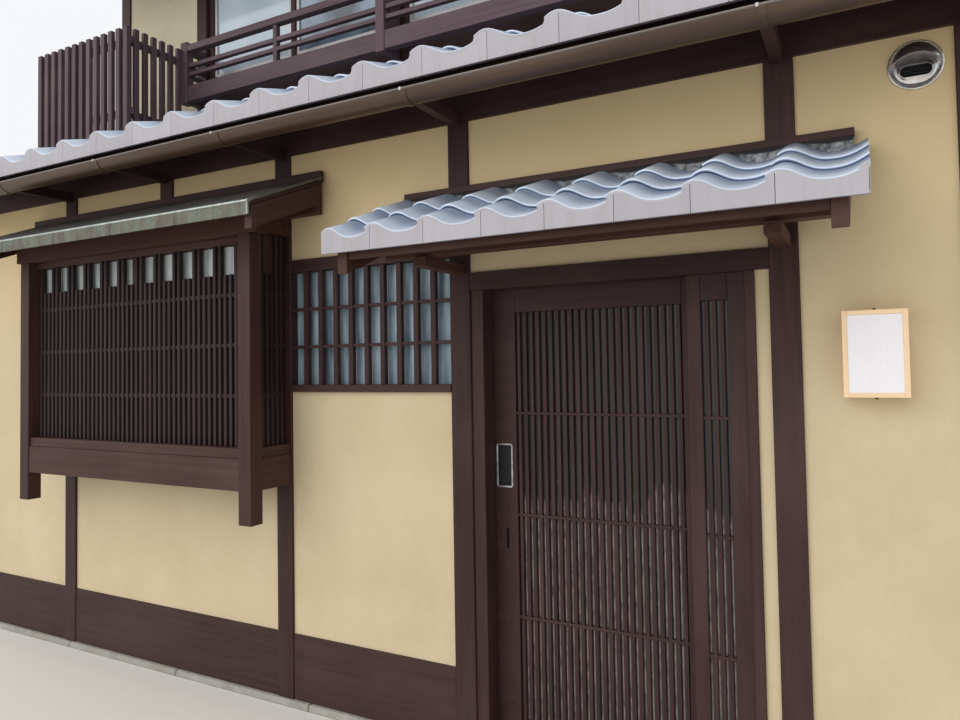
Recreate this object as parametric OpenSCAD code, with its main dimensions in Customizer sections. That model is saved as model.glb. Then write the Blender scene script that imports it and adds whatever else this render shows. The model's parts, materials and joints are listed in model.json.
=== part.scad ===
// Two-storey timber townhouse: sliding lattice door under a tiled canopy, projecting
// lattice bay window, high barred window, tiled pent roof and a set-back upper storey.
// X runs along the street front, Y into the house, Z up. The origin is at street
// level, midway between the end posts, in the plaster face of the ground-floor front.

/* [Plan] */
// Side of the square timber posts
post = 105; // [90:1:120]
// How far the posts stand proud of the plaster
reveal = 14; // [5:1:20]
// Thickness of the plastered walls
wall_t = 77; // [50:1:90]
// Post pitch left of the bay window
left_span = 910; // [600:10:1820]
// Post pitch across the bay window
bay_span = 1820; // [1200:10:2730]
// Post pitch across the high window
window_span = 1075; // [700:5:1820]
// Post pitch across the entrance
door_span = 1380; // [1300:5:1820]
// Post pitch right of the entrance
end_span = 607; // [580:1:1820]
// Distance between the front and back post lines
depth = 7280; // [5460:10:9100]
// Setback of the upper front wall behind the lower one
setback = 1045; // [800:5:1500]

/* [Levels] */
// Height of the foundation kerb above the street
kerb_h = 35; // [20:1:120]
// How far the kerb stands out from the plaster
kerb_out = 30; // [20:1:60]
// Thickness of the ground floor finish
floor_t = 15; // [10:1:30]
// Top of the skirting boards
skirt_top = 370; // [250:5:600]
// How far the skirting boards stand out from the plaster
skirt_out = 8; // [2:1:12]
// Underside of the beam over the ground-floor walls
wall_head = 2860; // [2700:10:3100]
// Top of the upper floor
upper_floor_top = 3050; // [3010:10:3300]
// Thickness of the upper floor
upper_floor_t = 60; // [40:5:100]
// Height of the beam that carries the upper front wall
carry_beam_h = 150; // [100:10:180]
// Top of the upper walls
upper_head = 5250; // [5100:10:5600]
// Height of the wall plates under the main roof
plate_h = 120; // [90:5:180]

/* [Lower roof] */
// Rise of the lower roof for each unit of depth
lower_slope = 0.36; // [0.3:0.01:0.5]
// Reach of the tile nose beyond the plaster
eave_out = 420; // [360:5:600]
// Height of the tile nose above the wall head
eave_rise = 65; // [60:1:120]
// Reach of both roofs beyond the side walls
verge_out = 131.5; // [60:0.5:200]
// Height from the bottom of a tile nose to the tile crests
tile_h = 125; // [90:1:150]
// Depth of the tile nose in front of the roof boards
nose_t = 25; // [15:1:40]
// Vertical thickness of the roof boards
deck_t = 26; // [18:1:40]
// Width of an eave arm
arm_w = 42; // [30:1:60]
// Height of an eave arm
arm_h = 60; // [40:1:90]
// How far the arms start below the wall head
arm_drop = 20; // [0:1:40]
// Width of the eave purlin
purlin_w = 60; // [40:1:90]
// Thickness of the fascia board
fascia_t = 20; // [12:1:30]

/* [Gutters] */
// Outer radius of the half-round gutters
gutter_r = 55; // [45:1:70]
// Wall of the gutters
gutter_t = 2.5; // [1.5:0.5:4]
// How far the gutter axis stands behind the tile nose
gutter_back = -20; // [-40:1:0]
// Drop from the tile nose to the lower gutter's lip
gutter_drop = 49; // [45:1:80]
// Thickness of the gutter straps
strap_t = 3; // [2:0.5:5]
// Width of the gutter straps
strap_w = 25; // [15:1:40]

/* [Main roof] */
// Rise of the main roof for each unit of depth
main_slope = 0.45; // [0.35:0.01:0.6]
// Reach of the main eaves beyond the wall posts
main_out = 700; // [450:10:900]
// Thickness of the ridge board
ridge_board_t = 40; // [30:1:60]
// Depth of the ridge board
ridge_board_h = 240; // [150:5:300]
// Width of the ridge capping
ridge_w = 260; // [200:5:360]
// Height of the ridge capping above the tile crests
ridge_h = 210; // [150:5:320]
// Thickness of the bargeboards
barge_t = 30; // [20:1:45]
// Depth of the bargeboards
barge_h = 150; // [100:5:220]

/* [Bay window] */
// Projection of the bay's front from the plaster
bay_out = 297; // [240:1:360]
// Width of the bay's front posts
bay_post_w = 85; // [70:1:100]
// Depth of the bay's front posts
bay_post_d = 80; // [60:1:100]
// Lower end of the bay's front posts
bay_post_bottom = 974; // [800:1:1100]
// Setback of the bottom beam from the face of the posts
bay_beam_back = 5; // [0:1:9]
// Thickness of the bottom beam
bay_beam_t = 70; // [50:1:75]
// Underside of the bay's bottom beam
bay_beam_bottom = 1138; // [1000:1:1250]
// Top of the bay's bottom beam
bay_beam_top = 1296; // [1260:1:1400]
// Top of the sill rail under the lattice
bay_sill_top = 1348; // [1310:1:1450]
// Setback of the sill rail from the face of the posts
bay_sill_back = 14; // [5:1:19]
// Thickness of the sill rail
bay_sill_t = 60; // [50:1:75]
// Thickness of the head rail
bay_head_t = 26; // [20:1:40]
// Top of the lattice, under the head rail
bay_lattice_top = 2376; // [2200:1:2395]
// Underside of the bay's purlin
bay_purlin_bottom = 2412; // [2390:1:2425]
// Reach of the purlin beyond the bay's posts
bay_purlin_out = 43; // [20:1:80]
// Setback of the lattice from the face of the posts
bay_lattice_back = 56; // [20:1:56]
// Pitch of the lattice bars
bay_bar_pitch = 38.4; // [30:0.1:60]
// Width of a lattice bar
bay_bar_w = 20; // [12:1:24]
// Depth of a lattice bar
bay_bar_d = 24; // [15:1:30]
// Top of the short lattice bars
bay_short_top = 2224; // [2160:1:2300]
// Height of the cross rails in the lattice
bay_rail_h = 20; // [12:1:30]
// Reach of the bay roof beyond the bay's post faces
bay_roof_side = 240; // [100:1:260]
// Reach of the bay roof in front of the bay
bay_roof_out = 243; // [150:1:300]
// Lower edge of the bay roof
bay_roof_bottom = 2431; // [2425:1:2500]
// Height of the bay roof's front edge
bay_edge_h = 70; // [45:1:80]
// Depth of the bay roof's front edge
bay_edge_t = 25; // [15:1:40]
// Height of the bay rafters
bay_rafter_h = 45; // [30:1:60]
// Width of the bay rafters
bay_rafter_w = 45; // [30:1:60]
// Height of the rafters at the ends of the bay roof
bay_end_h = 105; // [60:1:115]
// Underside of the beams over the bay's side lattices
bay_side_bottom = 2432; // [2420:1:2480]
// Thickness of the bay roof's board on the wall
bay_ledger_t = 46; // [30:1:70]
// Height of the bay roof's board on the wall
bay_ledger_h = 100; // [60:1:150]
// Number of bay rafters
bay_rafters_n = 6; // [4:1:9]
// Rise of the bay roof and the canopy for each unit of depth
small_slope = 0.42; // [0.35:0.01:0.45]

/* [High window] */
// Underside of the window sill
window_sill_bottom = 1617; // [1400:1:1700]
// Height of the window sill
window_sill_h = 37; // [25:1:60]
// How far the sill stands out from the plaster
window_sill_out = 20; // [14:1:40]
// Underside of the window head
window_head_bottom = 2240; // [2100:1:2300]
// Height of the window head
window_head_h = 65; // [40:1:90]
// Number of gaps between the window bars
window_gaps = 10; // [6:1:14]
// Width of a window bar
window_bar_w = 27; // [16:1:34]
// Depth of a window bar
window_bar_d = 27; // [16:1:34]
// Height of the window's cross rails
window_rail_h = 16; // [10:1:24]

/* [Entrance] */
// Underside of the door lintel
lintel_bottom = 2080; // [1980:5:2150]
// Height of the door lintel
lintel_h = 80; // [60:5:120]
// Width of the left jamb
jamb_left_w = 60.5; // [40:0.5:80]
// Width of the right jamb
jamb_right_w = 38; // [30:1:60]
// Width of the plaster strip beside the right jamb
strip_w = 51.5; // [30:0.5:80]
// Width of the sliding leaf
leaf_w = 980; // [900:1:1020]
// How far the leaf runs behind the left jamb
leaf_side_lap = 14; // [5:1:20]
// How far the leaf runs up behind the lintel
leaf_lap = 30; // [15:1:50]
// Thickness of the sliding leaf and of the fixed side panel
leaf_t = 36; // [30:1:45]
// Clearance of the leaf from the posts, jamb and tracks
leaf_gap = 6; // [5:1:10]
// Width of the leaf's left stile
stile_left_w = 123; // [110:1:140]
// Width of the leaf's right stile
stile_w = 101; // [80:1:130]
// Top of the lattice in the leaf and the side panel
leaf_lattice_top = 1976; // [1850:1:2000]
// Bottom of the lattice in the leaf and the side panel
leaf_lattice_bottom = 145; // [120:1:300]
// Number of bars in the leaf
leaf_bars = 24; // [16:1:30]
// Width of a door bar
leaf_bar_w = 15; // [10:1:18]
// Depth of a door bar
leaf_bar_d = 16; // [10:1:20]
// Height of the cross rails in the door lattice
leaf_rail_h = 12; // [8:1:20]
// Width of the lattice in the fixed side panel
side_lattice_w = 102; // [80:1:130]
// Number of bars in the fixed side panel
side_bars = 3; // [2:1:4]
// Width of the fixed side panel's left stile
side_stile_w = 55; // [40:1:80]
// Width of the fixed side panel's right stile
side_stile_right_w = 67; // [40:1:80]
// Setback of the fixed side panel from the plaster
side_panel_y = 12; // [0:1:20]
// Width of the door pull
pull_w = 84; // [50:1:90]
// Height of the door pull
pull_h = 200; // [120:1:240]
// Lower end of the door pull
pull_bottom = 1180; // [900:5:1300]
// Depth of the hollow in the door pull
pull_deep = 10; // [6:1:14]
// Height of the floor track
track_h = 6; // [4:1:10]
// Height of the head track
head_track_h = 54; // [30:1:80]

/* [Canopy] */
// Left end of the canopy from the left door post's centre
canopy_left = 293; // [150:1:400]
// Right end of the canopy from the right door post's centre
canopy_right = 288; // [150:1:400]
// Reach of the canopy's tile nose from the plaster
canopy_out = 619; // [450:1:750]
// Lower edge of the canopy's tile nose
canopy_bottom = 2208; // [2190:1:2300]
// Height from the bottom of the tile nose to its crests
canopy_tile_h = 92; // [70:1:110]
// Depth of the tile nose
canopy_nose_t = 22; // [15:1:30]
// Vertical thickness of the canopy's boards
canopy_deck_t = 24; // [15:1:30]
// Distance of the canopy beam's front from the plaster
canopy_beam_out = 325; // [200:1:500]
// Width of the canopy beam
canopy_beam_w = 60; // [45:1:75]
// Underside of the canopy beam
canopy_beam_bottom = 2199; // [2160:1:2230]
// Width of the canopy arms
canopy_arm_w = 56; // [45:1:80]
// Height of the canopy arms
canopy_arm_h = 44; // [35:1:60]
// How far the canopy arms run out past the beam
canopy_arm_out = 20; // [5:1:40]
// Width of the canopy's end rafters
end_rafter_w = 48; // [40:1:70]
// Height of the canopy's end rafters
end_rafter_h = 100; // [60:1:110]
// Setback of the end rafters from the tile nose
end_rafter_back = 32; // [25:1:60]
// Distance of the end rafters from the canopy's ends
end_rafter_in = 56; // [40:1:100]
// Height of the fascia between the end rafters
canopy_fascia_h = 36; // [25:1:60]
// Thickness of the fascia between the end rafters
canopy_fascia_t = 20; // [12:1:30]
// Thickness of the boards over the small roofs
flashing_t = 26; // [15:1:35]
// Height of the board over the canopy
canopy_flashing_h = 30; // [20:1:90]

/* [Upper front] */
// Underside of the upper windows
upper_sill = 3970; // [3700:10:4000]
// Top of the upper windows
upper_window_top = 4950; // [4700:10:5000]
// Width of the upper window frames
frame_w = 40; // [30:1:80]
// Depth of the upper window frames
frame_d = 55; // [40:1:70]
// Setback of the upper window frames from the plaster
frame_back = 20; // [5:1:21]
// Distance of the balustrade from the upper plaster
rail_out = 200; // [150:5:400]
// Side of the balustrade posts
rail_post = 66; // [50:1:80]
// Offset of the balustrade posts from the wall posts
rail_shift = 20; // [0:1:20]
// Gap between the balustrade and the board over the lower tiles
rail_clear = 140; // [0:1:200]
// Height of the balustrade posts
rail_h = 470; // [460:5:700]
// Width of the balustrade struts
strut_w = 33; // [25:1:45]

/* [Slatted screen] */
// Distance of the screen's front from the ground-floor plaster
screen_y = 385; // [300:5:600]
// Width of the screen's front
screen_w = 1050; // [700:10:1300]
// Top of the screen
screen_top = 4175; // [4000:5:4400]
// Number of slats in the front
screen_slats = 13; // [8:1:18]
// Width of a slat
slat_w = 42; // [25:1:70]
// Thickness of a slat
slat_t = 30; // [18:1:40]
// Height of the screen's rails
screen_rail_h = 50; // [30:1:70]
// Distance of the upper rails from the top of the screen
screen_rail_top = 110; // [60:1:200]
// Distance of the front's lower rail from the top of the screen
screen_rail_low = 620; // [300:5:700]
// Gap between the tiles and the return's lower rail
return_rail_clear = 36; // [10:1:150]
// Number of slats in the return
return_slats = 6; // [4:1:8]
// Width of a slat in the return
return_slat_w = 36; // [20:1:60]

/* [Back wall] */
// Sill of the back windows on the ground floor
back_sill = 900; // [700:10:1200]
// Head of the back windows on the ground floor
back_head = 2100; // [1900:10:2300]

/* [Wall fittings] */
// Width of the wall lamp
lamp_w = 201; // [150:1:260]
// Height of the wall lamp
lamp_h = 300; // [200:1:400]
// Depth of the wall lamp
lamp_d = 90; // [60:1:120]
// Lower edge of the lamp
lamp_bottom = 1605; // [1400:5:1800]
// Distance of the lamp's centre from the right end post
lamp_in = 319.5; // [200:0.5:400]
// Radius of the vent hood
hood_r = 86.5; // [60:0.5:110]
// Height of the vent hood's centre
hood_z = 2747; // [2500:1:2760]
// Distance of the hood's centre from the right end post
hood_in = 167; // [150:1:300]
// Depth of the vent hood
hood_d = 62; // [40:1:90]

/* [Hidden] */
$fn = 48;

wood = [0.27, 0.18, 0.16];
wood_light = [0.36, 0.25, 0.22];
plaster = [0.82, 0.74, 0.56];
plaster_pale = [0.86, 0.82, 0.72];
stone = [0.62, 0.61, 0.58];
mortar = [0.55, 0.53, 0.50];
floor_board = [0.66, 0.52, 0.36];
copper = [0.49, 0.50, 0.44];
lamp_shade = [0.95, 0.85, 0.68];
steel = [0.74, 0.74, 0.74];
tile = [0.72, 0.72, 0.75];
bronze = [0.38, 0.31, 0.26];
glass = [0.72, 0.80, 0.84, 0.6];

// Post centres along the front, from left to right
frontage = left_span + bay_span + window_span + door_span + end_span;
x_first = -frontage / 2;
x_a = x_first + left_span;
x_b = x_a + bay_span;
x_c = x_b + window_span;
x_d = x_c + door_span;
x_last = x_d + end_span;
x_mid = (x_a + x_b) / 2;
front_lines = [x_first, x_a, x_b, x_c, x_d, x_last];
half = post / 2;
x_out = x_last + half;
x_in = x_last - half;
x_verge = x_out + verge_out;

// Post rows into the house
post_front = -reveal;
post_back = post - reveal;
row_back = post_front + depth;
back_face = row_back + post;
inner_face = max(post_back, wall_t);
inner_back = min(row_back, back_face - reveal - wall_t);
upper_front = setback - reveal;
upper_back = upper_front + post;

// Heights of the two roofs at a depth y
nose_z = wall_head + eave_rise;
deck_front = -eave_out + nose_t;
function lower_under(y) = nose_z + lower_slope * (y - deck_front);
function lower_top(y) = nose_z + tile_h + lower_slope * (y + eave_out);
plate_top = upper_head + plate_h;
ridge_y = (upper_front + back_face) / 2;
main_nose = upper_front - main_out;
main_deck_front = main_nose + nose_t;
function main_under(y) = plate_top + main_slope * (y - upper_front);
main_nose_z = main_under(main_deck_front);
function main_top(y) = main_nose_z + tile_h + main_slope * (y - main_nose);
ridge_front = ridge_y - ridge_board_t / 2;
ridge_slant = 40;
barge_back = 90;

// Fits at the eaves
gutter_y = -eave_out - gutter_back;
gutter_z = nose_z - gutter_drop;
fascia_y = gutter_y + gutter_r + strap_t;
arm_bottom = wall_head - arm_drop;
arm_top = arm_bottom + arm_h;
arm_lines = [x_first, x_a, x_mid, x_b, x_c, x_d, x_last];
main_gutter_y = main_nose - gutter_back;
main_gutter_z = main_nose_z - gutter_drop;
fascia_lap = 10;
cut = 1;

// Bay window
// Insets of its side members from the outer faces of its posts
bay_beam_in = 6;
bay_sill_in = 12;
bay_side_in = 6;
bay_side_w = 60;
bay_lattice_in = 28;
bay_rail_in = 4;
// Sashes behind the lattice, and boards behind the side lattices
bay_sash_w = 50;
bay_sash_t = 30;
bay_sash_h = 40;
bay_sash_lap = 20;
bay_pane_in = 12;
bay_side_board_t = 9;
bay_side_board_gap = 3;
bay_ledger_in = 20;
bay_x0 = x_a - half;
bay_x1 = x_b + half;
bay_y0 = -bay_out;
bay_y1 = bay_y0 + bay_post_d;
bay_clear0 = bay_x0 + bay_post_w;
bay_clear1 = bay_x1 - bay_post_w;
bay_lattice_y = bay_y0 + bay_lattice_back;
bay_head_back = bay_lattice_back - bay_rail_in;
bay_board_x = bay_lattice_in + bay_bar_d + bay_side_board_gap;
bay_stiles = [bay_clear0 - bay_sash_lap, x_mid - bay_sash_w / 2,
              bay_clear1 + bay_sash_lap - bay_sash_w];
bay_bars = floor((bay_clear1 - bay_clear0 - bay_bar_pitch) / bay_bar_pitch / 2) * 2 + 1;
bay_rail_step = (bay_lattice_top - bay_sill_top) / 4;
bay_roof_y = bay_y0 - bay_roof_out;
bay_deck_y = bay_roof_y + bay_edge_t;
bay_deck_z = bay_roof_bottom + bay_edge_h - bay_edge_t;
function bay_under(y) = bay_deck_z + small_slope * (y - bay_deck_y);
function bay_top(y) = bay_roof_bottom + bay_edge_h + small_slope * (y - bay_roof_y);
bay_roof_x0 = bay_x0 - bay_roof_side;
bay_roof_x1 = bay_x1 + bay_roof_side;
bay_head_z = bay_purlin_bottom + 17;
bay_ledger_y = post_front - bay_ledger_t;
bay_head_top = bay_under(bay_ledger_y) - bay_rafter_h - bay_ledger_h;
window_glass_y = 40;
wall_glass_t = 6;
window_bar_out = 8;
window_rail_in = 4;

// Entrance
door_x0 = x_c + half;
door_x1 = x_d - half;
leaf_x0 = door_x0 + jamb_left_w - leaf_side_lap;
leaf_x1 = leaf_x0 + leaf_w;
leaf_y0 = inner_face + leaf_gap;
leaf_y1 = leaf_y0 + leaf_t;
floor_top = kerb_h + floor_t;
leaf_bottom = floor_top + track_h + leaf_gap;
leaf_top = lintel_bottom + leaf_lap;
leaf_rail_step = (leaf_lattice_top - leaf_lattice_bottom) / 4;
jamb_right_x0 = door_x1 - strip_w - jamb_right_w;
side_x1 = jamb_right_x0;
side_x0 = side_x1 - side_stile_right_w - side_lattice_w - side_stile_w;
side_clear0 = side_x0 + side_stile_w;
jamb_out = 4;
lattice_in = 6;
leaf_rail_out = 2;
door_glass_t = 4;
door_glass_back = 8;
track_y1 = leaf_y1 + leaf_gap + leaf_gap;
head_track_z = leaf_top + leaf_gap;
pull_in = 6;
pull_x0 = leaf_x0 + leaf_side_lap + pull_in;
pull_wall = 2;
pull_lip = 4;
pull_rim = 8;

// Canopy
canopy_x0 = x_c - canopy_left;
canopy_x1 = x_d + canopy_right;
canopy_y0 = -canopy_out;
canopy_deck_y = canopy_y0 + canopy_nose_t;
function canopy_under(y) = canopy_bottom + small_slope * (y - canopy_deck_y);
function canopy_top(y) = canopy_bottom + canopy_tile_h + small_slope * (y - canopy_y0);
canopy_back = post_front - flashing_t;
end_rafter_front = canopy_y0 + end_rafter_back;
canopy_fascia_in = 9;
canopy_beam_x0 = canopy_x0 + end_rafter_in + end_rafter_w;
canopy_beam_x1 = canopy_x1 - end_rafter_in - end_rafter_w;
// Ends and rise of the boards over the small roofs, from those roofs
canopy_board_left = 11;
canopy_board_right = 41;
canopy_board_rise = 12;
bay_board_left = 60;
bay_board_right = -8;
bay_board_rise = 23;

// Upper front
x_f = x_b + bay_span;
upper_lines = [x_first, x_a, x_b, x_f, x_last];
frame_y = setback + frame_back;
pane_t = 5;
pane_in = 25;
roof_board_t = 30;
roof_board_rise = 42;
roof_board_top = lower_top(upper_front) + roof_board_rise;
rail_y0 = setback - rail_out;
rail_bottom = roof_board_top + rail_clear;
rail_top = rail_bottom + rail_h;
// Lower and upper edge of each rail above the posts' feet, and its inset from their faces
rail_edges = [[13, 133, 5], [210, 238, 15], [277, 307, 15], [398, 448, 5]];
strut_in = 14;
lap = 1;
back_frame_in = 10;
back_pane_in = 25;
rail_lines = [x_a + rail_shift, x_b + rail_shift, x_f + rail_shift];

// Slatted screen
screen_x1 = x_a;
screen_x0 = screen_x1 - screen_w;
screen_back = screen_y + slat_t;
slat_gap = 20;
screen_rail_t = 30;
screen_foot_w = 40;

// Bays of the back wall that hold a window on each storey
back_open = [1, 3];
back_rows = [[back_sill, back_head], [upper_sill, upper_window_top]];
back_frame_y = back_face - reveal - frame_d - back_frame_in;

// Wall fittings
hood_rim = 8;
hood_steps = 8;

// A block between two corners
module block(x0, x1, y0, y1, z0, z1) {
    translate([x0, y0, z0]) cube([x1 - x0, y1 - y0, z1 - z0]);
}

// A [y, z] outline drawn out along X
module along(x0, x1, outline) {
    translate([x0, 0, 0]) rotate([90, 0, 90]) linear_extrude(x1 - x0) polygon(outline);
}

// The same shape on the front and the back of the main roof
module both_slopes() {
    children();
    translate([0, 2 * ridge_y, 0]) mirror([0, 1, 0]) children();
}

// A strip that follows a sloping line from y0 to y1, between two offsets in height
function strip(y0, y1, z0, z1, low, high) =
    [[y0, z0 + low], [y1, z1 + low], [y1, z1 + high], [y0, z0 + high]];

// Ground floor
module foundation() {
    color(stone)
    block(-x_out, x_out, -kerb_out, back_face - reveal + kerb_out, 0, kerb_h);
}

// A floor from y0 to the back wall, and on to each back post
module floor_slab(y0, z0, z1) {
    block(-x_in, x_in, y0, inner_back, z0, z1);
    for (i = [1 : len(front_lines) - 2])
        block(front_lines[i] - half, front_lines[i] + half, inner_back - lap, row_back, z0, z1);
}

module ground_floor() {
    color(mortar) {
        floor_slab(inner_face, kerb_h, floor_top);
        block(door_x0, door_x1, post_front, inner_face, kerb_h, floor_top);
    }
}

module front_posts() {
    color(wood) {
        for (x = front_lines)
            block(x - half, x + half, post_front, post_back, kerb_h, wall_head);
        block(x_mid - half, x_mid + half, post_front, post_back, bay_head_top, wall_head);
    }
}

// Plaster panels between the posts, in separate pieces around each opening
module front_wall() {
    plain = [[x_first + half, x_a - half], [x_d + half, x_last - half]];
    window_head_top = window_head_bottom + window_head_h;
    color(plaster) {
        for (edge = plain)
            block(edge[0], edge[1], 0, wall_t, skirt_top, wall_head);
        block(x_a + half, x_b - half, 0, wall_t, skirt_top, bay_beam_top);
        block(x_a + half, x_mid - half, 0, wall_t, bay_head_top, wall_head);
        block(x_mid + half, x_b - half, 0, wall_t, bay_head_top, wall_head);
        block(x_b + half, x_c - half, 0, wall_t, skirt_top, window_sill_bottom);
        block(x_b + half, x_c - half, 0, wall_t, window_head_top, wall_head);
        block(door_x0, door_x1, 0, wall_t, lintel_bottom + lintel_h, wall_head);
        block(door_x1 - strip_w, door_x1, 0, wall_t, floor_top, lintel_bottom);
    }
}

// Boards along the foot of the front and back walls, between the posts
module skirting() {
    color(wood)
    for (i = [0 : len(front_lines) - 2]) {
        x0 = front_lines[i] + half;
        x1 = front_lines[i + 1] - half;
        if (i != 3) block(x0, x1, -skirt_out, wall_t, kerb_h, skirt_top);
        block(x0, x1, back_face - reveal - wall_t, back_face - reveal + skirt_out,
              kerb_h, skirt_top);
    }
}

// Eaves and lower roof
module eave_beam() {
    color(wood)
    along(-x_out, x_out, [[post_front, wall_head], [post_back, wall_head],
        [post_back, lower_under(post_back)], [post_front, lower_under(post_front)]]);
}

module eave_arms() {
    color(wood)
    for (x = arm_lines)
        block(x - arm_w / 2, x + arm_w / 2, fascia_y, post_front, arm_bottom, arm_top);
}

module eave_purlin() {
    y0 = fascia_y + fascia_t;
    y1 = y0 + purlin_w;
    color(wood)
    along(-x_verge, x_verge,
          [[y0, arm_top], [y1, arm_top], [y1, lower_under(y1)], [y0, lower_under(y0)]]);
}

module fascia(y0, bottom, under0, under1) {
    along(-x_verge, x_verge,
          [[y0, bottom], [y0 + fascia_t, bottom], [y0 + fascia_t, under1], [y0, under0]]);
}

// Boards behind the gutters, under the edges of the roof boards
module eave_fascia() {
    color(wood) {
        fascia(fascia_y, arm_top, lower_under(fascia_y), lower_under(fascia_y + fascia_t));
        main_y = main_gutter_y + gutter_r + strap_t;
        both_slopes()
            fascia(main_y, main_gutter_z - fascia_lap, main_under(main_y),
                   main_under(main_y + fascia_t));
    }
}

module lower_roof_boards() {
    color(wood)
    along(-x_verge, x_verge, strip(deck_front, upper_front, lower_under(deck_front),
                                   lower_under(upper_front), 0, deck_t));
}

// Outer shape of the tiled surface, with its hanging nose
module lower_roof_tiles() {
    color(tile)
    along(-x_verge, x_verge,
          [[-eave_out, nose_z], [deck_front, nose_z], [deck_front, nose_z + deck_t],
           [upper_front, lower_under(upper_front) + deck_t],
           [upper_front, lower_top(upper_front)], [-eave_out, nose_z + tile_h]]);
}

module half_round(y, z, outer, inner, x0, x1) {
    difference() {
        translate([x0, y, z]) rotate([0, 90, 0]) cylinder(r = outer, h = x1 - x0);
        translate([x0 - cut, y, z]) rotate([0, 90, 0])
            cylinder(r = inner, h = x1 - x0 + 2 * cut);
        block(x0 - cut, x1 + cut, y - outer - cut, y + outer + cut, z, z + outer + cut);
    }
}

// A half-round channel closed by a cap at each end
module channel(y, z) {
    half_round(y, z, gutter_r, gutter_r - gutter_t, -x_verge, x_verge);
    for (side = [-1, 1])
        intersection() {
            translate([side * (x_verge - gutter_t / 2), y, z]) rotate([0, 90, 0])
                cylinder(r = gutter_r - gutter_t / 2, h = gutter_t, center = true);
            block(-x_verge, x_verge, y - gutter_r, y + gutter_r, z - gutter_r, z);
        }
}

module gutter() {
    color(bronze) {
        channel(gutter_y, gutter_z);
        both_slopes() channel(main_gutter_y, main_gutter_z);
    }
}

module gutter_straps() {
    color(bronze)
    for (x = arm_lines) {
        half_round(gutter_y, gutter_z, gutter_r + strap_t, gutter_r,
                   x - strap_w / 2, x + strap_w / 2);
        both_slopes()
            half_round(main_gutter_y, main_gutter_z, gutter_r + strap_t, gutter_r,
                       x - strap_w / 2, x + strap_w / 2);
    }
}

// Bay window
module bay_posts() {
    color(wood_light) {
        block(bay_x0, bay_clear0, bay_y0, bay_y1, bay_post_bottom, bay_purlin_bottom);
        block(bay_clear1, bay_x1, bay_y0, bay_y1, bay_post_bottom, bay_purlin_bottom);
    }
}

// One front member and two side members between the bay's posts and the wall
module bay_ring(front, thick, inset, z0, z1) {
    block(bay_clear0, bay_clear1, bay_y0 + front, bay_y0 + front + thick, z0, z1);
    for (x = [bay_x0 + inset, bay_x1 - inset - thick])
        block(x, x + thick, bay_y1, post_front, z0, z1);
}

module bay_beams() {
    color(wood_light)
    bay_ring(bay_beam_back, bay_beam_t, bay_beam_in, bay_beam_bottom, bay_beam_top);
}

module bay_rails() {
    color(wood_light) {
        bay_ring(bay_sill_back, bay_sill_t, bay_sill_in, bay_beam_top, bay_sill_top);
        block(bay_clear0, bay_clear1, bay_y0 + bay_head_back, bay_y0 + bay_head_back + bay_head_t,
              bay_lattice_top, bay_purlin_bottom);
    }
}

module bay_purlin() {
    y1 = bay_y1;
    wall_y = bay_ledger_y;
    color(wood_light) {
        along(bay_x0 - bay_purlin_out, bay_x1 + bay_purlin_out,
              [[bay_y0, bay_purlin_bottom], [y1, bay_purlin_bottom],
               [y1, bay_under(y1) - bay_rafter_h], [bay_y0, bay_under(bay_y0) - bay_rafter_h]]);
        along(bay_roof_x0 + bay_ledger_in, bay_roof_x1 - bay_ledger_in,
              [[wall_y, bay_head_top], [post_front, bay_head_top],
               [post_front, bay_under(post_front)], [wall_y, bay_under(wall_y)]]);
        for (x = [bay_x0 + bay_side_in, bay_x1 - bay_side_in - bay_side_w])
            along(x, x + bay_side_w,
                  [[y1, bay_side_bottom], [post_front, bay_side_bottom],
                   [post_front, bay_head_top], [wall_y, bay_head_top],
                   [wall_y, bay_under(wall_y) - bay_rafter_h],
                   [y1, bay_under(y1) - bay_rafter_h]]);
    }
}

// Upright bars, two long then two short in turn, crossed by three rails
module bay_lattice() {
    bottom = bay_sill_top;
    side_bars_n = floor((post_front - bay_y1) / bay_bar_pitch);
    side_step = (post_front - bay_y1) / (side_bars_n + 1);
    y0 = bay_lattice_y;
    y1 = y0 + bay_bar_d;
    rail_z = [for (i = [1 : 3]) bottom + i * bay_rail_step];
    color(wood_light) {
        for (i = [0 : bay_bars - 1]) {
            x = (bay_clear0 + bay_clear1) / 2 + ((bay_bars - 1) / 2 - i) * bay_bar_pitch;
            top = i % 4 < 2 ? bay_lattice_top : bay_short_top;
            block(x - bay_bar_w / 2, x + bay_bar_w / 2, y0, y1, bottom, top);
        }
        for (z = rail_z)
            block(bay_clear0, bay_clear1, y0 + bay_rail_in, y1 - bay_rail_in,
                  z - bay_rail_h / 2, z + bay_rail_h / 2);
        for (x = [bay_x0 + bay_lattice_in, bay_x1 - bay_lattice_in - bay_bar_d]) {
            for (i = [1 : side_bars_n]) {
                y = bay_y1 + i * side_step;
                top = i % 4 < 2 ? bay_side_bottom : bay_short_top;
                block(x, x + bay_bar_d, y - bay_bar_w / 2, y + bay_bar_w / 2, bottom, top);
            }
            for (z = rail_z)
                block(x + bay_rail_in, x + bay_bar_d - bay_rail_in, bay_y1, post_front,
                      z - bay_rail_h / 2, z + bay_rail_h / 2);
        }
    }
}

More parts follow.
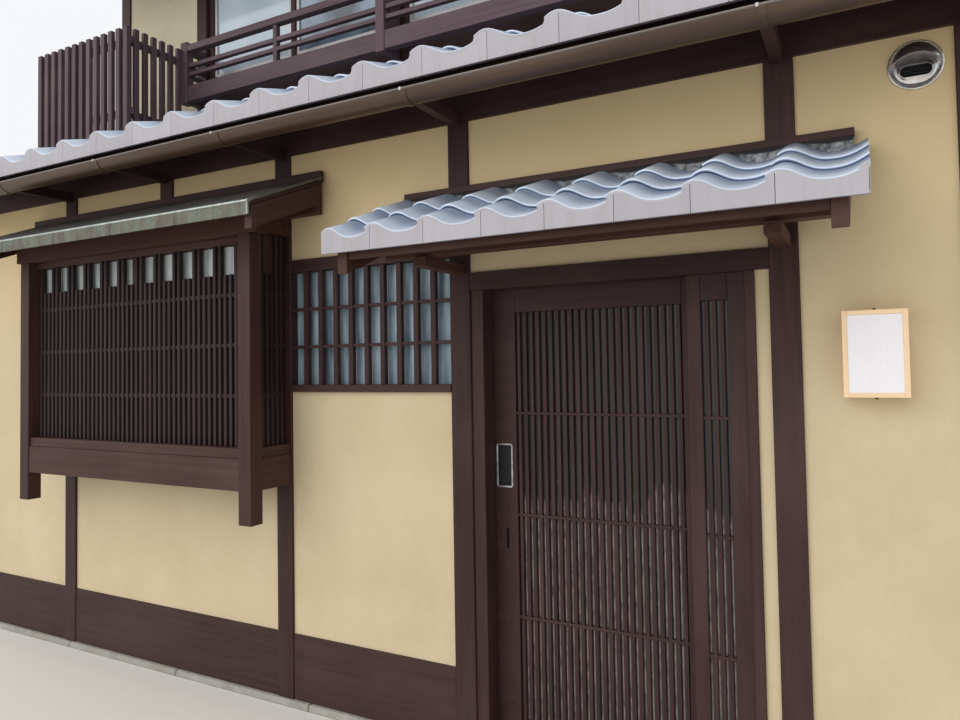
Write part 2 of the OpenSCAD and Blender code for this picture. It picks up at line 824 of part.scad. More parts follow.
module bay_window_frame() {
    color(wood) {
        block(x_a + half, x_b - half, post_front, post_back, bay_beam_top, bay_sill_top);
        block(x_a + half, x_b - half, post_front, post_back, bay_head_z, bay_head_top);
        for (x = bay_stiles)
            block(x, x + bay_sash_w, bay_y1, bay_y1 + bay_sash_t, bay_sill_top, bay_purlin_bottom);
        for (z = [bay_sill_top, bay_purlin_bottom - bay_sash_h])
            block(bay_stiles[0], bay_stiles[2] + bay_sash_w, bay_y1, bay_y1 + bay_sash_t,
                  z, z + bay_sash_h);
        for (x = [bay_x0 + bay_board_x, bay_x1 - bay_board_x - bay_side_board_t])
            block(x, x + bay_side_board_t, bay_y1, post_front, bay_sill_top, bay_side_bottom);
    }
}

module bay_glass() {
    y = bay_y1 + bay_pane_in;
    color(glass)
    for (i = [0, 1])
        block(bay_stiles[i] + bay_sash_w, bay_stiles[i + 1], y, y + wall_glass_t,
              bay_sill_top + bay_sash_h, bay_purlin_bottom - bay_sash_h);
}

module bay_rafters() {
    first = bay_roof_x0;
    step = (bay_roof_x1 - bay_roof_x0 - bay_rafter_w) / (bay_rafters_n - 1);
    color(wood_light)
    for (i = [0 : bay_rafters_n - 1])
        along(first + i * step, first + i * step + bay_rafter_w,
              strip(bay_deck_y, bay_ledger_y, bay_under(bay_deck_y), bay_under(bay_ledger_y),
                    i % (bay_rafters_n - 1) == 0 ? -bay_end_h : -bay_rafter_h, 0));
}

module bay_roof() {
    color(copper)
    along(bay_roof_x0, bay_roof_x1,
          [[bay_roof_y, bay_roof_bottom], [bay_deck_y, bay_roof_bottom],
           [bay_deck_y, bay_under(bay_deck_y)], [canopy_back, bay_under(canopy_back)],
           [canopy_back, bay_top(canopy_back)], [bay_roof_y, bay_roof_bottom + bay_edge_h]]);
}

// Boards on the wall over the bay roof and over the canopy
module wall_boards() {
    canopy_board_top = canopy_top(canopy_back) + canopy_board_rise;
    color(wood) {
        block(bay_roof_x0 - bay_board_left, bay_roof_x1 + bay_board_right,
              canopy_back, post_front,
              bay_under(post_front), bay_top(post_front) + bay_board_rise);
        block(canopy_x0 + canopy_board_left, canopy_x1 - canopy_board_right,
              canopy_back, post_front,
              canopy_board_top - canopy_flashing_h, canopy_board_top);
    }
}

// High barred window
module window_frame() {
    color(wood) {
        block(x_b + half, x_c - half, -window_sill_out, wall_t,
              window_sill_bottom, window_sill_bottom + window_sill_h);
        block(x_b + half, x_c - half, post_front, wall_t,
              window_head_bottom, window_head_bottom + window_head_h);
    }
}

module window_lattice() {
    x0 = x_b + half;
    x1 = x_c - half;
    bottom = window_sill_bottom + window_sill_h;
    pitch = (x1 - x0) / window_gaps;
    rail_step = (window_head_bottom - bottom) / 3;
    color(wood) {
        for (i = [1 : window_gaps - 1])
            block(x0 + i * pitch - window_bar_w / 2, x0 + i * pitch + window_bar_w / 2,
                  -window_bar_out, window_bar_d - window_bar_out, bottom, window_head_bottom);
        for (i = [1 : 2])
            block(x0, x1, window_rail_in - window_bar_out,
                  window_bar_d - window_bar_out - window_rail_in,
                  bottom + i * rail_step - window_rail_h / 2,
                  bottom + i * rail_step + window_rail_h / 2);
    }
}

module window_glass() {
    color(glass)
    block(x_b + half, x_c - half, window_glass_y, window_glass_y + wall_glass_t,
          window_sill_bottom + window_sill_h, window_head_bottom);
}

// Entrance
module door_frame() {
    color(wood) {
        block(door_x0, door_x1, post_front, post_back, lintel_bottom, lintel_bottom + lintel_h);
        block(door_x0, door_x0 + jamb_left_w, -jamb_out, post_back, floor_top, lintel_bottom);
        block(jamb_right_x0, jamb_right_x0 + jamb_right_w, post_front, post_back,
              floor_top, lintel_bottom);
    }
}

module door_tracks() {
    color(wood) {
        block(door_x0, x_in, inner_face, track_y1, floor_top, floor_top + track_h);
        block(door_x0, x_in, inner_face, track_y1, head_track_z, head_track_z + head_track_h);
    }
}

module panel_frame(x0, x1, left_w, right_w, y0, z0, z1) {
    block(x0, x0 + left_w, y0, y0 + leaf_t, z0, z1);
    block(x1 - right_w, x1, y0, y0 + leaf_t, z0, z1);
    block(x0, x1, y0, y0 + leaf_t, z0, leaf_lattice_bottom);
    block(x0, x1, y0, y0 + leaf_t, leaf_lattice_top, z1);
}

// Upright bars centred between x0 and x1, crossed by three rails
module panel_lattice(x0, x1, y0, bars, pitch) {
    first = (x0 + x1 - (bars - 1) * pitch) / 2;
    for (i = [0 : bars - 1])
        block(first + i * pitch - leaf_bar_w / 2, first + i * pitch + leaf_bar_w / 2,
              y0, y0 + leaf_bar_d, leaf_lattice_bottom, leaf_lattice_top);
    for (i = [1 : 3])
        block(x0, x1, y0 - leaf_rail_out, y0 + leaf_bar_d,
              leaf_lattice_bottom + i * leaf_rail_step - leaf_rail_h / 2,
              leaf_lattice_bottom + i * leaf_rail_step + leaf_rail_h / 2);
}

module door_leaf() {
    color(wood)
    difference() {
        panel_frame(leaf_x0, leaf_x1, stile_left_w, stile_w, leaf_y0, leaf_bottom, leaf_top);
        block(pull_x0, pull_x0 + pull_w, leaf_y0 - cut, leaf_y0 + pull_deep + pull_wall,
              pull_bottom, pull_bottom + pull_h);
    }
}

module door_lattice() {
    lattice_w = leaf_w - stile_left_w - stile_w;
    color(wood)
    panel_lattice(leaf_x0 + stile_left_w, leaf_x1 - stile_w, leaf_y0 + lattice_in, leaf_bars,
                  lattice_w / leaf_bars);
}

// Glass behind the bars of a leaf or panel whose front face is at y0
module panel_glass(x0, x1, y0) {
    y1 = y0 + leaf_t - door_glass_back;
    block(x0, x1, y1 - door_glass_t, y1, leaf_lattice_bottom, leaf_lattice_top);
}

module door_glass() {
    color(glass) panel_glass(leaf_x0 + stile_left_w, leaf_x1 - stile_w, leaf_y0);
}

// Metal pull let into the leaf's left stile
module door_pull() {
    color(steel)
    difference() {
        block(pull_x0, pull_x0 + pull_w, leaf_y0 - pull_lip, leaf_y0 + pull_deep + pull_wall,
              pull_bottom, pull_bottom + pull_h);
        block(pull_x0 + pull_rim, pull_x0 + pull_w - pull_rim,
              leaf_y0 - pull_lip - cut, leaf_y0 + pull_deep,
              pull_bottom + pull_rim, pull_bottom + pull_h - pull_rim);
    }
}

module side_panel() {
    color(wood)
    panel_frame(side_x0, side_x1, side_stile_w, side_stile_right_w, side_panel_y,
                floor_top, lintel_bottom);
}

module side_panel_lattice() {
    color(wood)
    panel_lattice(side_clear0, side_clear0 + side_lattice_w, side_panel_y + lattice_in,
                  side_bars, (side_lattice_w + leaf_bar_w) / (side_bars + 1));
}

module side_panel_glass() {
    color(glass) panel_glass(side_clear0, side_clear0 + side_lattice_w, side_panel_y);
}

// Arms on the door posts and the rafters at the canopy's ends
module canopy_arms() {
    color(wood_light) {
        for (x = [x_c, x_d])
            block(x - canopy_arm_w / 2, x + canopy_arm_w / 2,
                  -canopy_beam_out - canopy_arm_out, post_front,
                  canopy_beam_bottom - canopy_arm_h, canopy_beam_bottom);
        for (x = [canopy_beam_x0 - end_rafter_w, canopy_beam_x1])
            along(x, x + end_rafter_w,
                  strip(end_rafter_front, post_front, canopy_under(end_rafter_front),
                        canopy_under(post_front), -end_rafter_h, 0));
    }
}

// Beam on the arms and fascia under the front of the boards
module canopy_beam() {
    y0 = -canopy_beam_out;
    fascia_y = end_rafter_front + canopy_fascia_in;
    fascia_bottom = canopy_bottom - canopy_fascia_h;
    color(wood_light)
    for (edge = [[y0, y0 + canopy_beam_w, canopy_beam_bottom],
                 [fascia_y, fascia_y + canopy_fascia_t, fascia_bottom]])
        along(canopy_beam_x0, canopy_beam_x1,
              [[edge[0], edge[2]], [edge[1], edge[2]],
               [edge[1], canopy_under(edge[1])], [edge[0], canopy_under(edge[0])]]);
}

module canopy_boards() {
    color(wood_light)
    along(canopy_x0, canopy_x1,
          strip(canopy_deck_y, post_front, canopy_under(canopy_deck_y),
                canopy_under(post_front), 0, canopy_deck_t));
}

module canopy_tiles() {
    color(tile)
    along(canopy_x0, canopy_x1,
          [[canopy_y0, canopy_bottom], [canopy_deck_y, canopy_bottom],
           [canopy_deck_y, canopy_bottom + canopy_deck_t],
           [canopy_back, canopy_under(canopy_back) + canopy_deck_t],
           [canopy_back, canopy_top(canopy_back)], [canopy_y0, canopy_bottom + canopy_tile_h]]);
}

// Upper storey
module upper_floor() {
    color(floor_board)
    floor_slab(upper_back, upper_floor_top - upper_floor_t, upper_floor_top);
}

module upper_posts() {
    color(wood)
    for (x = upper_lines)
        block(x - half, x + half, upper_front, upper_back, upper_floor_top, upper_head);
}

module upper_wall() {
    y0 = setback;
    y1 = setback + wall_t;
    color(plaster_pale) {
        block(x_first + half, x_a - half, y0, y1, upper_floor_top, upper_head);
        block(x_f + half, x_last - half, y0, y1, upper_floor_top, upper_head);
        for (x = [x_a, x_b])
            block(x + half, x + bay_span - half, y0, y1, upper_window_top, upper_head);
    }
}

// Four sides and a middle mullion
module sash_frame(x0, x1, y0, z0, z1) {
    xm = (x0 + x1) / 2;
    block(x0, x1, y0, y0 + frame_d, z0, z0 + frame_w);
    block(x0, x1, y0, y0 + frame_d, z1 - frame_w, z1);
    for (x = [x0, xm - frame_w / 2, x1 - frame_w])
        block(x, x + frame_w, y0, y0 + frame_d, z0, z1);
}

module upper_windows() {
    color(wood)
    for (x = [x_a, x_b])
        sash_frame(x + half, x + bay_span - half, frame_y, upper_sill, upper_window_top);
}

// Glass on both sides of the mullion
module sash_glass(x0, x1, y, z0, z1) {
    xm = (x0 + x1) / 2;
    for (edge = [[x0 + frame_w, xm - frame_w / 2], [xm + frame_w / 2, x1 - frame_w]])
        block(edge[0], edge[1], y, y + pane_t, z0 + frame_w, z1 - frame_w);
}

module upper_glass() {
    color(glass)
    for (x = [x_a, x_b])
        sash_glass(x + half, x + bay_span - half, frame_y + pane_in,
                   upper_sill, upper_window_top);
}

// Beam under the upper wall, boards under the windows, wall plates, ridge board and the
// board above the lower tiles
module upper_beams() {
    board_y = upper_front - roof_board_t;
    color(wood) {
        block(-x_in, x_in, upper_front, upper_back,
              upper_floor_top - carry_beam_h, upper_floor_top);
        for (x = [x_a, x_b])
            block(x + half, x + bay_span - half, setback, setback + wall_t,
                  upper_floor_top, upper_sill);
        both_slopes()
            along(-x_out, x_out, [[upper_front, upper_head], [upper_back, upper_head],
                [upper_back, main_under(upper_back)], [upper_front, plate_top]]);
        block(-x_verge, x_verge, ridge_front, ridge_front + ridge_board_t,
              main_under(ridge_front) - ridge_board_h, main_under(ridge_front) + deck_t);
        along(-x_out, x_out, [[board_y, lower_top(board_y)], [upper_front, lower_top(upper_front)],
            [upper_front, roof_board_top], [board_y, roof_board_top]]);
    }
}

// Front rails between the end posts, and short returns to the wall
module balustrade() {
    y0 = rail_y0;
    y1 = y0 + rail_post;
    r = rail_post / 2;
    x0 = rail_lines[0];
    x1 = rail_lines[2];
    low_rail = rail_edges[0];
    color(wood) {
        for (x = rail_lines)
            block(x - r, x + r, y0, y1, rail_bottom, rail_top);
        for (x = [(x0 + rail_lines[1]) / 2, (rail_lines[1] + x1) / 2])
            block(x - strut_w / 2, x + strut_w / 2, y0 + strut_in, y1 - strut_in,
                  rail_bottom + low_rail[1], rail_bottom + rail_edges[3][0]);
        for (rail = rail_edges) {
            block(x0, x1, y0 + rail[2], y1 - rail[2], rail_bottom + rail[0], rail_bottom + rail[1]);
            for (x = [x0, x1])
                block(x - r + rail[2], x + r - rail[2], y1 - lap, upper_front,
                      rail_bottom + rail[0], rail_bottom + rail[1]);
        }
        block(rail_lines[1] - r + low_rail[2], rail_lines[1] + r - low_rail[2],
              y1 - lap, upper_front, rail_bottom + low_rail[0], rail_bottom + low_rail[1]);
    }
}

// Upright slats that stand on the lower roof and turn back to the balustrade
module slat_screen() {
    pitch = (screen_w - slat_w) / (screen_slats - 1);
    rail_back = screen_back + screen_rail_t;
    upper_rail = screen_top - screen_rail_top;
    return_pitch = (rail_y0 - screen_back) / return_slats;
    return_x0 = screen_x1 - slat_t;
    color(wood) {
        for (i = [0 : screen_slats - 1]) {
            x = screen_x0 + i * pitch;
            block(x, x + slat_w, screen_y, screen_back,
                  lower_top(screen_back) + slat_gap, screen_top);
        }
        for (z = [upper_rail, screen_top - screen_rail_low])
            block(screen_x0, screen_x1, screen_back, rail_back, z, z + screen_rail_h);
        for (z = [upper_rail, lower_top(rail_y0) + return_rail_clear])
            block(return_x0 - screen_rail_t, return_x0, screen_back, rail_y0,
                  z, z + screen_rail_h);
        for (x = [screen_x0, (screen_x0 + screen_x1) / 2, return_x0 - screen_foot_w])
            along(x, x + screen_foot_w,
                  [[screen_back, lower_top(screen_back)], [rail_back, lower_top(rail_back)],
                   [rail_back, upper_rail], [screen_back, upper_rail]]);
        for (i = [1 : return_slats]) {
            y = screen_back + i * return_pitch - return_slat_w;
            block(return_x0, screen_x1, y, y + return_slat_w,
                  lower_top(y + return_slat_w) + slat_gap, screen_top);
        }
    }
}

// Plain side walls up to the roofs
module party_walls() {
    outline = [
        [post_back, kerb_h], [row_back, kerb_h], [row_back, main_under(upper_back)],
        [ridge_front + ridge_board_t, main_under(ridge_front)],
        [ridge_front + ridge_board_t, main_under(ridge_front) - ridge_board_h],
        [ridge_front, main_under(ridge_front) - ridge_board_h],
        [ridge_front, main_under(ridge_front)], [upper_back, main_under(upper_back)],
        [upper_back, upper_floor_top], [upper_front, upper_floor_top],
        [upper_front, lower_under(upper_front)], [post_back, lower_under(post_back)]];
    color(plaster_pale) {
        along(-x_out, -x_in, outline);
        along(x_in, x_out, outline);
    }
}

// Back wall
module back_posts() {
    color(wood)
    for (x = front_lines)
        block(x - half, x + half, row_back, back_face, kerb_h, upper_head);
}

module back_wall() {
    y1 = back_face - reveal;
    y0 = y1 - wall_t;
    color(plaster_pale)
    for (i = [0 : len(front_lines) - 2]) {
        x0 = front_lines[i] + half;
        x1 = front_lines[i + 1] - half;
        if (i == back_open[0] || i == back_open[1]) {
            block(x0, x1, y0, y1, skirt_top, back_sill);
            block(x0, x1, y0, y1, back_head, upper_sill);
            block(x0, x1, y0, y1, upper_window_top, upper_head);
        } else
            block(x0, x1, y0, y1, skirt_top, upper_head);
    }
}

module back_windows() {
    color(wood)
    for (i = back_open)
        for (z = back_rows)
            sash_frame(front_lines[i] + half, front_lines[i + 1] - half,
                       back_frame_y, z[0], z[1]);
}

module back_glass() {
    color(glass)
    for (i = back_open)
        for (z = back_rows)
            sash_glass(front_lines[i] + half, front_lines[i + 1] - half,
                       back_frame_y + back_pane_in, z[0], z[1]);
}

// Main roof
module main_roof_boards() {
    barge_y = main_deck_front + barge_back;
    color(wood)
    both_slopes() {
        along(-x_verge, x_verge,
              strip(main_deck_front, ridge_front, main_under(main_deck_front),
                    main_under(ridge_front), 0, deck_t));
        for (x = [-x_verge, x_verge - barge_t])
            along(x, x + barge_t,
                  strip(barge_y, ridge_front, main_under(barge_y), main_under(ridge_front),
                        -barge_h, lap));
    }
}

module main_roof_tiles() {
    cap_y = ridge_y - ridge_w / 2;
    color(tile) {
        both_slopes()
            along(-x_verge, x_verge,
                  [[main_nose, main_nose_z], [main_deck_front, main_nose_z],
                   [main_deck_front, main_nose_z + deck_t],
                   [ridge_front, main_under(ridge_front) + deck_t],
                   [ridge_y, main_under(ridge_front) + deck_t],
                   [ridge_y, main_top(cap_y) + ridge_h],
                   [cap_y + ridge_slant, main_top(cap_y) + ridge_h],
                   [cap_y, main_top(cap_y)], [main_nose, main_nose_z + tile_h]]);
    }
}

// Wall fittings
module lamp() {
    x0 = x_last - lamp_in - lamp_w / 2;
    color(lamp_shade)
    block(x0, x0 + lamp_w, -lamp_d, 0, lamp_bottom, lamp_bottom + lamp_h);
}

// Round flange with a domed cover
module vent_hood() {
    dome = [for (i = [0 : hood_steps - 1])
        [hood_r * cos(i * 90 / hood_steps),
         hood_rim + (hood_d - hood_rim) * sin(i * 90 / hood_steps)]];
    color(steel)
    translate([x_last - hood_in, 0, hood_z]) rotate([90, 0, 0])
        rotate_extrude() polygon(concat([[0, 0], [hood_r, 0]], dome, [[0, hood_d]]));
}

foundation();
ground_floor();
front_posts();
front_wall();
skirting();
eave_beam();
eave_arms();
eave_purlin();
eave_fascia();
lower_roof_boards();
lower_roof_tiles();
gutter();
gutter_straps();
bay_posts();
bay_beams();
bay_rails();
bay_purlin();
bay_lattice();
bay_window_frame();
bay_glass();
bay_rafters();
bay_roof();
wall_boards();
window_frame();
window_lattice();
window_glass();
door_frame();
door_tracks();
door_leaf();
door_lattice();
door_glass();
door_pull();
side_panel();
side_panel_lattice();
side_panel_glass();
canopy_arms();
canopy_beam();
canopy_boards();
canopy_tiles();
upper_floor();
upper_posts();
upper_wall();
upper_windows();
upper_glass();
upper_beams();
balustrade();
slat_screen();
party_walls();
back_posts();
back_wall();
back_windows();
back_glass();
main_roof_boards();
main_roof_tiles();
lamp();
vent_hood();
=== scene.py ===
import json
import math

import bmesh
import bpy
import numpy as np
from mathutils import Matrix, Vector
from mathutils.bvhtree import BVHTree


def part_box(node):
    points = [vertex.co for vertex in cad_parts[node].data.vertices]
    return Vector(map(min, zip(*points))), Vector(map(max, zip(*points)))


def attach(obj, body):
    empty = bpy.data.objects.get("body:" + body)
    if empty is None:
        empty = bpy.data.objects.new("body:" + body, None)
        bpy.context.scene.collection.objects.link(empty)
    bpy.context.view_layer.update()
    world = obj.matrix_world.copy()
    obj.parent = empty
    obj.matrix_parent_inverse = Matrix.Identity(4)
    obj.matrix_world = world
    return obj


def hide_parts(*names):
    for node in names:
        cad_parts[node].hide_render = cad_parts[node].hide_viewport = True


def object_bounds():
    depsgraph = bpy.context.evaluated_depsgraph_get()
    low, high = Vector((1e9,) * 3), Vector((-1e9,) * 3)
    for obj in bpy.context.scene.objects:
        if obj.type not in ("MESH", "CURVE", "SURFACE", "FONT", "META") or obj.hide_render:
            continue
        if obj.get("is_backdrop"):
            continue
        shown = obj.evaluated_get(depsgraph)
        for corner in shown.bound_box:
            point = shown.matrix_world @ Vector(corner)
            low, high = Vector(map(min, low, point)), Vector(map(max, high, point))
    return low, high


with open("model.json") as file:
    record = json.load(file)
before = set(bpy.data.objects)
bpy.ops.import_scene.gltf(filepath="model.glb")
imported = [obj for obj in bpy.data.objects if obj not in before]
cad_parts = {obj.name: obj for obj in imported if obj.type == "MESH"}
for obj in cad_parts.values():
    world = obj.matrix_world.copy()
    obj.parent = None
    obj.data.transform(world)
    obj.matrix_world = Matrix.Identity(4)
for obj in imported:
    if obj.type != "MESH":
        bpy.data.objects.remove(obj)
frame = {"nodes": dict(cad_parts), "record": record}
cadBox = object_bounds()
scene = bpy.context.scene
slotOf = {part["node"]: part["material_slot"] for part in frame["record"]["subparts"]}
bodies = frame["record"]["behaviour"]["bodies"]
bodyOf = {node: body for body, nodes in bodies.items() for node in nodes}
print("frame loaded:", len(slotOf), "nodes")


class Signal:
    # one socket of a node tree, written in sums like a number
    def __init__(self, tree, socket):
        self.tree = tree
        self.socket = socket

    def __add__(self, other):
        return self.tree.maths("ADD", self, other)

    def __radd__(self, other):
        return self.tree.maths("ADD", other, self)

    def __sub__(self, other):
        return self.tree.maths("SUBTRACT", self, other)

    def __rsub__(self, other):
        return self.tree.maths("SUBTRACT", other, self)

    def __mul__(self, other):
        return self.tree.maths("MULTIPLY", self, other)

    def __rmul__(self, other):
        return self.tree.maths("MULTIPLY", other, self)

    def __truediv__(self, other):
        return self.tree.maths("DIVIDE", self, other)

    def __mod__(self, other):
        return self.tree.maths("FLOORED_MODULO", self, other)


class Tree:
    # a node tree, material or geometry, that grows a node at a time
    def __init__(self, nodeTree):
        self.nodeTree = nodeTree

    def node(self, kind, settings=None, inputs=None, output=0):
        made = self.nodeTree.nodes.new(kind)
        for name, value in (settings or {}).items():
            setattr(made, name, value)
        for name, value in (inputs or {}).items():
            socket = made.inputs[name]
            if isinstance(value, Signal):
                self.nodeTree.links.new(value.socket, socket)
            elif socket.type == "RGBA":
                socket.default_value = (*value, 1.0)
            else:
                socket.default_value = value
        return Signal(self, made.outputs[output]) if len(made.outputs) else None

    def maths(self, operation, first, second=0.5, **settings):
        return self.node("ShaderNodeMath", {"operation": operation, **settings}, {0: first, 1: second})

    def mixed(self, factor, first, second):
        return self.node("ShaderNodeMix", {"data_type": "RGBA"}, {0: factor, 6: first, 7: second}, 2)

    def vector(self, operation, first, second):
        return self.node("ShaderNodeVectorMath", {"operation": operation}, {0: first, 1: second})

    def scaled(self, first, factor):
        return self.node("ShaderNodeVectorMath", {"operation": "SCALE"}, {0: first, "Scale": factor})

    def noise(self, place, scale, detail=2.0, roughness=0.5, stretch=None):
        if stretch:
            place = self.vector("MULTIPLY", place, stretch)
        inputs = {"Vector": place, "Scale": scale, "Detail": detail, "Roughness": roughness}
        return self.node("ShaderNodeTexNoise", None, inputs)

    def spread(self, value, low, high, toLow=0.0, toHigh=1.0):
        inputs = {"Value": value, "From Min": low, "From Max": high, "To Min": toLow, "To Max": toHigh}
        return self.node("ShaderNodeMapRange", None, inputs)

    def tint(self, value, low, high, first, second):
        return self.mixed(self.spread(value, low, high), first, second)

    def attribute(self, name, output="Fac"):
        return self.node("ShaderNodeAttribute", {"attribute_name": name}, None, output)

    def axis(self, place, number):
        return self.node("ShaderNodeSeparateXYZ", None, {0: place}, number)

    def bump(self, height, distance, strength=1.0):
        inputs = {"Height": height, "Distance": distance, "Strength": strength}
        return self.node("ShaderNodeBump", None, inputs)


def finish(name, build, look=None, fixed=None):
    # build gives the shader inputs that vary, fixed the ones that don't
    material = bpy.data.materials.new(name)
    material.use_nodes = True
    material.node_tree.nodes.clear()
    tree = Tree(material.node_tree)
    place = tree.node("ShaderNodeTexCoord", None, None, "Object")
    inputs = {**(fixed or {}), **build(tree, place, look)}
    shader = tree.node("ShaderNodeBsdfPrincipled", None, inputs)
    tree.node("ShaderNodeOutputMaterial", None, {"Surface": shader})
    return material


def wood(tree, place, look):
    tone = tree.attribute("tone")
    grain = tree.attribute("grain", "Vector")
    shifted = tree.vector("ADD", place, tree.scaled((3.1, 5.7, 7.3), tone))
    # squeezed along the grain, the pattern draws out into fibres
    reach = tree.node("ShaderNodeVectorMath", {"operation": "DOT_PRODUCT"}, {0: shifted, 1: grain}, 1)
    drawn = tree.vector("SUBTRACT", shifted, tree.scaled(grain, reach * (1 - 1 / look["pull"])))
    bands = tree.noise(drawn, look["bands"], 3.0, 0.6)
    fibres = tree.noise(drawn, look["fibres"], 2.0, 0.7)
    patches = tree.spread(tree.noise(shifted, look["patches"]), 0.45, 0.8, 0.0, look["wear"])
    body = tree.tint(bands * 0.65 + fibres * 0.35, 0.3, 0.7, look["dark"], look["light"])
    level = tree.spread(tone, 0.0, 1.0, 1 - look["toneSpread"], 1 + look["toneSpread"])
    return {
        "Base Color": tree.scaled(tree.mixed(patches, body, look["faded"]), level),
        "Roughness": tree.spread(fibres, 0.3, 0.7, look["gloss"] - 0.06, look["gloss"] + 0.08),
        "Normal": tree.bump(fibres * 0.6 + bands * 0.4, look["relief"]),
    }


stainedLook = {
    "dark": (0.027, 0.0122, 0.0122),
    "light": (0.057, 0.028, 0.0265),
    "faded": (0.092, 0.053, 0.051),
    "wear": 0.35,
    "toneSpread": 0.12,      # how much one member differs from another
    "pull": 26.0,            # how long the fibres are drawn
    "bands": 42.0,
    "fibres": 420.0,
    "patches": 1.7,
    "gloss": 0.56,
    "relief": 0.0006,
}
litLook = dict(stainedLook, dark=(0.034, 0.0145, 0.0130), light=(0.070, 0.032, 0.028))
# a lighter, redder copy of the stained wood: painted light on the canopy's timbers
litCanopyLook = dict(stainedLook, dark=(0.044, 0.0180, 0.0145), light=(0.090, 0.040, 0.031))
latticeLook = dict(stainedLook, dark=(0.016, 0.0080, 0.0085), light=(0.036, 0.0188, 0.0195), wear=0.15)
# a lighter, purplish copy of the stained wood: painted sky sheen on the upper timbers
skySheenWoodLook = dict(stainedLook, dark=(0.060, 0.036, 0.043), light=(0.112, 0.074, 0.086),
                     faded=(0.150, 0.110, 0.120), wear=0.5)
doorLook = dict(stainedLook, gloss=0.48, relief=0.0004)
floorLook = dict(stainedLook, dark=(0.26, 0.16, 0.085), light=(0.42, 0.29, 0.17),
                 faded=(0.50, 0.38, 0.25), gloss=0.45)
hinokiLook = dict(stainedLook, dark=(0.80, 0.56, 0.33), light=(0.93, 0.70, 0.46),
                  faded=(0.95, 0.78, 0.58), toneSpread=0.03, bands=60.0, gloss=0.42)

plasterLook = {
    "body": (0.605, 0.505, 0.345),
    "shade": (0.535, 0.435, 0.280),
    "speck": (0.70, 0.62, 0.48),
    "eaveShadeColour": (0.670, 0.490, 0.235),    # painted warm shade under the eaves
    "smoke": 0.6,
    "eaveShadeFrom": 1.8,                   # heights between which it sets in
    "smokeTo": 2.8,
    "grain": 300.0,
    "relief": 0.0012,
}
upperPlasterLook = dict(plasterLook, body=(0.60, 0.54, 0.40), shade=(0.52, 0.46, 0.33),
                        speck=(0.70, 0.66, 0.54), smoke=0.0)
sidePlasterLook = dict(plasterLook, body=(0.56, 0.50, 0.38), shade=(0.46, 0.41, 0.315),
                       speck=(0.66, 0.62, 0.52), smoke=0.0)


def plaster(tree, place, look):
    clouds = tree.noise(place, 2.3, 3.0, 0.55)
    strokes = tree.noise(place, 24.0, 3.0, 0.6, (1.0, 1.0, 0.6))
    sand = tree.noise(place, look["grain"], 2.0, 0.6)
    coarse = tree.noise(place, look["grain"] * 0.35, 3.0, 0.6)
    ground = tree.tint(clouds * 0.75 + strokes * 0.25, 0.34, 0.68, look["shade"], look["body"])
    # painted warm shade under the eaves, growing with height
    smoke = tree.spread(tree.axis(place, 2), look["eaveShadeFrom"], look["smokeTo"], 0.0, look["smoke"])
    ground = tree.mixed(smoke, ground, look["eaveShadeColour"])
    specked = tree.mixed(tree.spread(sand, 0.56, 0.74, 0.0, 0.55), ground, look["speck"])
    return {
        "Base Color": tree.mixed(tree.spread(coarse, 0.30, 0.42, 0.35, 0.0), specked, look["shade"]),
        "Roughness": tree.spread(sand, 0.3, 0.7, 0.86, 0.98),
        "Normal": tree.bump(sand * 0.5 + coarse * 0.5, look["relief"], 0.7),
    }


tileLook = {
    # body and dark are the tile's grey with a painted blue sky reflection
    "body": (0.245, 0.312, 0.450),
    "dark": (0.148, 0.192, 0.292),
    "lip": (0.560, 0.645, 0.790),      # painted highlight along the lower edge of each sheet
    "face": (0.398, 0.388, 0.432),     # the upright fronts
    "stain": (0.330, 0.310, 0.320),
}


def tile(tree, place, look):
    tone = tree.attribute("tone")
    face = tree.attribute("face")
    shifted = tree.vector("ADD", place, tree.scaled((2.3, 4.1, 1.9), tone))
    smoke = tree.noise(shifted, 5.0, 4.0, 0.6)
    grit = tree.noise(place, 260.0, 2.0, 0.6)
    runs = tree.noise(shifted, 1.0, 3.0, 0.6, (26.0, 2.2, 2.2))
    body = tree.tint(smoke, 0.35, 0.65, look["dark"], look["body"])
    # painted highlight along each lip, fading up the sheet
    body = tree.mixed(tree.attribute("lip"), body, look["lip"])
    front = tree.mixed(tree.spread(runs, 0.45, 0.75, 0.0, 0.5), look["face"], look["stain"])
    level = tree.spread(tone, 0.0, 1.0, 0.93, 1.06)
    return {
        "Base Color": tree.scaled(tree.mixed(face, body, front), level),
        "Roughness": tree.spread(smoke, 0.3, 0.7, 0.42, 0.56) + face * 0.15,
        "Metallic": 0.12 - face * 0.1,
        "Normal": tree.bump(grit * 0.4 + smoke * 0.6, 0.0006),
    }


gutterLook = {"dark": (0.052, 0.027, 0.016), "light": (0.082, 0.045, 0.028), "dusted": (0.105, 0.077, 0.060)}
# a lighter copy of the gutter metal for the rolled lips: painted highlight
litGutterLipLook = {"dark": (0.11, 0.085, 0.075), "light": (0.17, 0.14, 0.125), "dusted": (0.30, 0.27, 0.25)}


def gutterMetal(tree, place, look):
    drift = tree.noise(place, 2.2, 3.0, 0.55, (0.7, 9.0, 9.0))
    dust = tree.noise(place, 90.0, 3.0, 0.6)
    base = tree.tint(drift, 0.35, 0.65, look["dark"], look["light"])
    return {
        "Base Color": tree.mixed(tree.spread(dust, 0.55, 0.8, 0.0, 0.3), base, look["dusted"]),
        "Roughness": tree.spread(dust, 0.3, 0.7, 0.30, 0.42),
        "Normal": tree.bump(drift, 0.0015, 0.5),
    }


copperLook = {
    "green": ((0.096, 0.115, 0.082), (0.168, 0.192, 0.150)),
    "brown": ((0.078, 0.058, 0.049), (0.136, 0.109, 0.091)),
    "edge": ((0.34, 0.38, 0.35), (0.50, 0.56, 0.54)),      # painted highlight at the front and the folds
    # behind: painted dark reflection on the top, behind the rolled edge
    "behind": (0.050, 0.048, 0.050),
}


